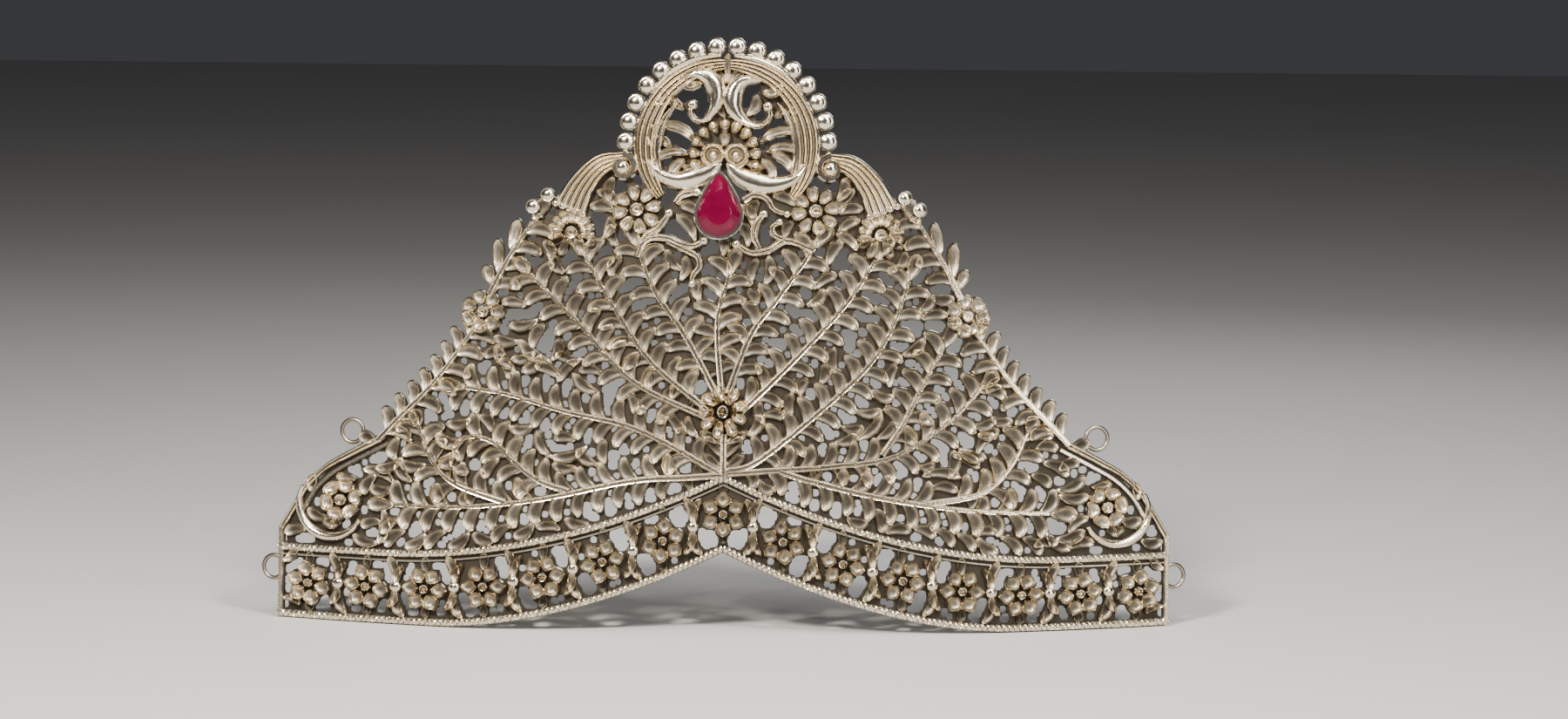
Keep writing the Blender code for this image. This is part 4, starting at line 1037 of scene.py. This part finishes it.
def open_run(centre, angle):
    """How far one can go from a spot before meeting silver."""
    runs = np.arange(0.0, LONGEST_RUN, 0.3)
    line = np.array(centre) + runs[:, None] * np.array((math.cos(angle), math.sin(angle)))
    near = from_silver(line)
    if added:
        near = np.minimum(near, apart(line, added))
    met = np.flatnonzero(near < MET)
    return float(runs[met[0]]) if len(met) else LONGEST_RUN


filled = 0
while gaps.max() > GAP and filled < MOST_LEAVES:
    centre = tuple(spots[int(gaps.argmax())])
    outward = heading(FAN_ROOT, centre)
    choices = []
    for turn in (0, 25, -25, 50, -50, 75, -75):
        angle = outward + math.radians(turn)
        ahead, behind = open_run(centre, angle), open_run(centre, angle + math.pi)
        fault = abs(ahead + behind - LONGEST_RUN) + abs(turn) / 40
        choices.append((fault, angle, min(ahead, LONGEST_AHEAD), behind))
    _, angle, ahead, behind = min(choices)
    base = polar(centre, -behind - 0.5, angle)
    hook = HOOK if filled % 2 else -HOOK
    length = ahead + behind + 0.6
    half_of(base[0]).leaf(base, angle - hook, length, 3.9, 1.7, bend=hook, tilt=-hook)
    line = [polar(base, s, angle) for s in np.arange(0, ahead + behind + 1.0, 0.5)]
    added.extend(line)
    gaps = np.minimum(gaps, apart(spots, line) - COVERED)
    filled += 1
widest = round(float(gaps.max()), 2)
print("small leaves added:", filled, "widest gap left:", widest, "mm")

# %% [markdown]
# Under all of it lies the sheet, pierced between the forms. A saw blade starts from a drilled hole,
# so a piercing is everything that a disc of the drill's size can reach without touching a leaf.
# That rounds the corners of every opening and fills the cracks that are too narrow to saw. The
# crest is finer work than the field, so its drill is smaller.

# %% The pierced ground
DRILL = 1.05
CREST_DRILL = 0.8
SAW_PLAY = 0.05
CELL = 0.7
DRAWN_HEIGHT = 168
# The ground's top lies below the height where the silver is darkest, so the whole ground carries
# the oxide and painted shade of the hollows.
GROUND_TOP = 0.5
GROUND_BACK = -0.1
silver = silver_tree()


def drill_at(spot):
    """The drill's radius, which is smaller in the crest."""
    return CREST_DRILL if spot.y > CREST_FROM else DRILL


sheet = bmesh.new()
columns, rows = round(2 * HALF_WIDTH / CELL), round(DRAWN_HEIGHT / CELL)
bmesh.ops.create_grid(sheet, x_segments=columns, y_segments=rows, size=0.5)
bmesh.ops.scale(sheet, vec=(columns * CELL, rows * CELL, 1.0), verts=sheet.verts)
bmesh.ops.translate(sheet, vec=(0.0, rows * CELL / 2, 0.0), verts=sheet.verts)
whole = np.array(rope_run(lower_edge) + rest_of_line)
within = inside(np.array([vert.co[:2] for vert in sheet.verts]), whole)
outer = [vert for vert, kept in zip(sheet.verts, within) if not kept]
bmesh.ops.delete(sheet, geom=outer, context="VERTS")
before = len(sheet.verts)
flat = [vert.co.copy() for vert in sheet.verts]
drilled = tree_of([spot for spot in flat if silver.find(spot)[2] >= drill_at(spot)])
sawn = []
for vert in sheet.verts:
    centre, _, away = drilled.find(vert.co)
    hole = drill_at(centre) - SAW_PLAY
    if away < hole - CELL / 2:
        sawn.append(vert)
    elif away < hole + CELL / 2:
        vert.co = centre + (vert.co - centre) * (hole / away)
bmesh.ops.delete(sheet, geom=sawn, context="VERTS")
rim = [vert for vert in sheet.verts if vert.is_boundary]
for _ in range(2):
    bmesh.ops.smooth_vert(sheet, verts=rim, factor=0.5, use_axis_x=True, use_axis_y=True)
bmesh.ops.translate(sheet, vec=(0.0, 0.0, GROUND_BACK), verts=sheet.verts)
grown = bmesh.ops.extrude_face_region(sheet, geom=sheet.faces[:])
front = [g for g in grown["geom"] if isinstance(g, bmesh.types.BMVert)]
bmesh.ops.translate(sheet, vec=(0.0, 0.0, GROUND_TOP - GROUND_BACK), verts=front)
bmesh.ops.recalc_face_normals(sheet, faces=sheet.faces)
print("sawn away:", round(100 * len(sawn) / before), "% of the sheet")
ground = Relief("pierced_ground")
ground.add(sheet)
ground.finish(SILVER, "chased_silver", ["crown_plate"])
for relief in fronds.values():
    relief.finish(SILVER, "chased_silver", ["crown_plate"])

# %% [markdown]
# The stone sits in a thin bezel. Its outline is a circle below drawn up to a point above. A cut
# stone is flat facets, so its rings have few sides and stay flat shaded, and the table is wide.


# %% The pear outline, the bezel and the cut stone
PEAR_RADIUS = 6.0
PEAR_POINT = 11.2
PEAR_MIDDLE = 1.0


def pear(grow, count, share=1.0):
    """The stone's outline, grown by so many millimetres or shrunk to a share of its size."""
    radius, point = PEAR_RADIUS + grow, PEAR_POINT + grow
    outline = []
    for i in range(count):
        turn = 2 * math.pi * i / count
        pull = max(0.0, math.cos(turn)) ** 3
        across = radius * math.sin(turn) * (1 - 0.3 * pull)
        along = radius * math.cos(turn) + (point - radius) * pull
        v = STONE[1] + PEAR_MIDDLE + (along - PEAR_MIDDLE) * share
        outline.append((STONE[0] - across * share, v))
    return outline


def ringed(rings, closed):
    """Rings of (outline, height) joined by bridging, closed as a loop or capped at both ends."""
    bm = bmesh.new()
    loops = []
    for outline, height in rings:
        made = bmesh.ops.create_circle(bm, cap_ends=False, segments=len(outline), radius=1.0)
        for vert, (u, v) in zip(made["verts"], outline):
            vert.co = on_sheet(u, v, height)
        loops.append([e for e in bm.edges if e.verts[0] in made["verts"]])
    pairs = list(zip(loops, loops[1:]))
    if closed:
        pairs.append((loops[-1], loops[0]))
    for low, high in pairs:
        bmesh.ops.bridge_loops(bm, edges=[*low, *high])
    if not closed:
        bmesh.ops.holes_fill(bm, edges=[e for e in bm.edges if e.is_boundary], sides=0)
    bmesh.ops.recalc_face_normals(bm, faces=bm.faces)
    return bm


BEZEL_WALL = [(0.3, 1.2), (1.1, 1.2), (1.1, 1.45), (0.92, 1.6), (0.9, 3.2), (0.8, 3.45)]
BEZEL_LIP = [(0.6, 3.45), (0.5, 3.3)]
bezel = ringed([(pear(grow, 60), height) for grow, height in BEZEL_WALL + BEZEL_LIP], True)
add_piece("bezel", bezel, BEZEL_SILVER, "bezel_silver", ["stone_bezel"], smooth_below=40)
STONE_BELOW = [(0.5, 1.2), (0.8, 1.25), (1.03, 2.6), (1.03, 3.45)]
STONE_FACE = [(0.86, 4.5), (0.6, 5.5), (0.58, 5.55)]
stone = ringed([(pear(0.0, 22, share), h) for share, h in STONE_BELOW + STONE_FACE], False)
add_piece("cut_stone", stone, RUBY, "red_stone", ["red_stone"], smooth_below=0)

# %% [markdown]
# A tie ring is the wire's round section spun once round the ring's middle. It stands upright
# behind the edge of the sheet, turned as the sheet is bent there.

# %% The tie rings: round wire
WIRE_RADIUS = 0.6
WIRE_SIDES = 14
RING_RADIUS = 3.3
RING_STEPS = 56
UPRIGHT = Matrix.Rotation(math.pi / 2, 4, "X")
for level, (u, v) in (("upper", RING_UPPER), ("lower", RING_LOWER)):
    for sign, side in ((-1, "left"), (1, "right")):
        bm = bmesh.new()
        bmesh.ops.create_circle(bm, cap_ends=False, segments=WIRE_SIDES, radius=WIRE_RADIUS)
        bmesh.ops.translate(bm, vec=(RING_RADIUS, 0.0, 0.0), verts=bm.verts)
        bmesh.ops.rotate(bm, matrix=UPRIGHT.to_3x3(), verts=bm.verts)
        wire = [*bm.verts, *bm.edges]
        turns = {"angle": 2 * math.pi, "steps": RING_STEPS, "axis": (0, 0, 1)}
        bmesh.ops.spin(bm, geom=wire, use_merge=True, **turns)
        bmesh.ops.remove_doubles(bm, verts=bm.verts, dist=WELD)
        bmesh.ops.recalc_face_normals(bm, faces=bm.faces)
        turn = math.asin(sign * u / BEND_RADIUS)
        stand = Matrix.Rotation(-LEAN, 4, "X") @ Matrix.Rotation(turn, 4, "Z") @ UPRIGHT
        centre = on_sheet(sign * u, v, RING_HEIGHT)
        for vert in bm.verts:
            vert.co = centre + (stand @ (vert.co * MM))
        node = "tie_ring_" + level + "_" + side
        add_piece("ring_" + level + "_" + side, bm, WIRE_SILVER, "silver_wire", [node])

# %% [markdown]
# The plate stands on a plain pale floor under five soft lights. The camera looks down by about
# seven degrees, square to the leaning plate, from as far as the photograph seems to be taken.

# %% Floor, lights and camera
FLOOR_DARK = (0.46, 0.455, 0.445, 1)
FLOOR_LIGHT = (0.51, 0.505, 0.495, 1)
PLATE_MIDDLE = Vector((0.0, 0.0, 0.08))
bm = bmesh.new()
bmesh.ops.create_grid(bm, x_segments=1, y_segments=1, size=3.0)
floor_mesh = mesh_from(bm, "floor")
floor_finish = Finish("pale_floor", Roughness=0.75)
floor_cloud = floor_finish.noise(3.0)
floor_finish.feed("Base Color", floor_finish.mixed(floor_cloud, FLOOR_DARK, FLOOR_LIGHT))
floor_mesh.materials.append(floor_finish.material)
floor = linked("floor", floor_mesh)

world = bpy.data.worlds.new("studio")
world.use_nodes = True
sky = world.node_tree.nodes["Background"].inputs
sky["Color"].default_value = (0.9, 0.92, 1.0, 1.0)
sky["Strength"].default_value = 0.05
bpy.context.scene.world = world


def soft_light(name, place, size, power, colour):
    """A soft light aimed at the middle of the plate."""
    lamp = bpy.data.lights.new(name, "AREA")
    lamp.shape = "RECTANGLE"
    lamp.size, lamp.size_y = size
    lamp.energy = power
    lamp.color = colour
    light = linked(name, lamp)
    light.location = place
    aim = PLATE_MIDDLE - Vector(place)
    light.rotation_euler = aim.to_track_quat("-Z", "Y").to_euler()


soft_light("key", (-0.3, -0.5, 0.55), (0.12, 0.12), 12.0, (1.0, 0.93, 0.84))
soft_light("second", (0.32, -0.42, 0.6), (0.1, 0.1), 5.5, (1.0, 0.95, 0.88))
soft_light("fill", (0.5, -0.6, 0.25), (0.2, 0.35), 2.2, (1.0, 0.97, 0.93))
soft_light("top", (0.1, -0.2, 0.65), (0.4, 0.2), 3.0, (0.96, 0.98, 1.0))
soft_light("back", (0.25, 0.6, 0.45), (0.3, 0.3), 0.8, (0.96, 0.98, 1.0))

VIEW_DISTANCE = 1200.0 * MM
VIEW_DOWN = math.radians(7.0)
ROLL = math.radians(0.6)
LENS = 97.0
VIEW_CENTRE = (16.8, 78.4, 1.0)
target = on_sheet(*VIEW_CENTRE)
lens = bpy.data.cameras.new("camera")
lens.lens = LENS
camera = linked("camera", lens)
away = Vector((0.0, -math.cos(VIEW_DOWN) * VIEW_DISTANCE, math.sin(VIEW_DOWN) * VIEW_DISTANCE))
camera.location = target + away
turned = Matrix.Rotation(math.pi / 2 - VIEW_DOWN, 3, "X") @ Matrix.Rotation(ROLL, 3, "Z")
camera.rotation_euler = turned.to_euler()
bpy.context.scene.camera = camera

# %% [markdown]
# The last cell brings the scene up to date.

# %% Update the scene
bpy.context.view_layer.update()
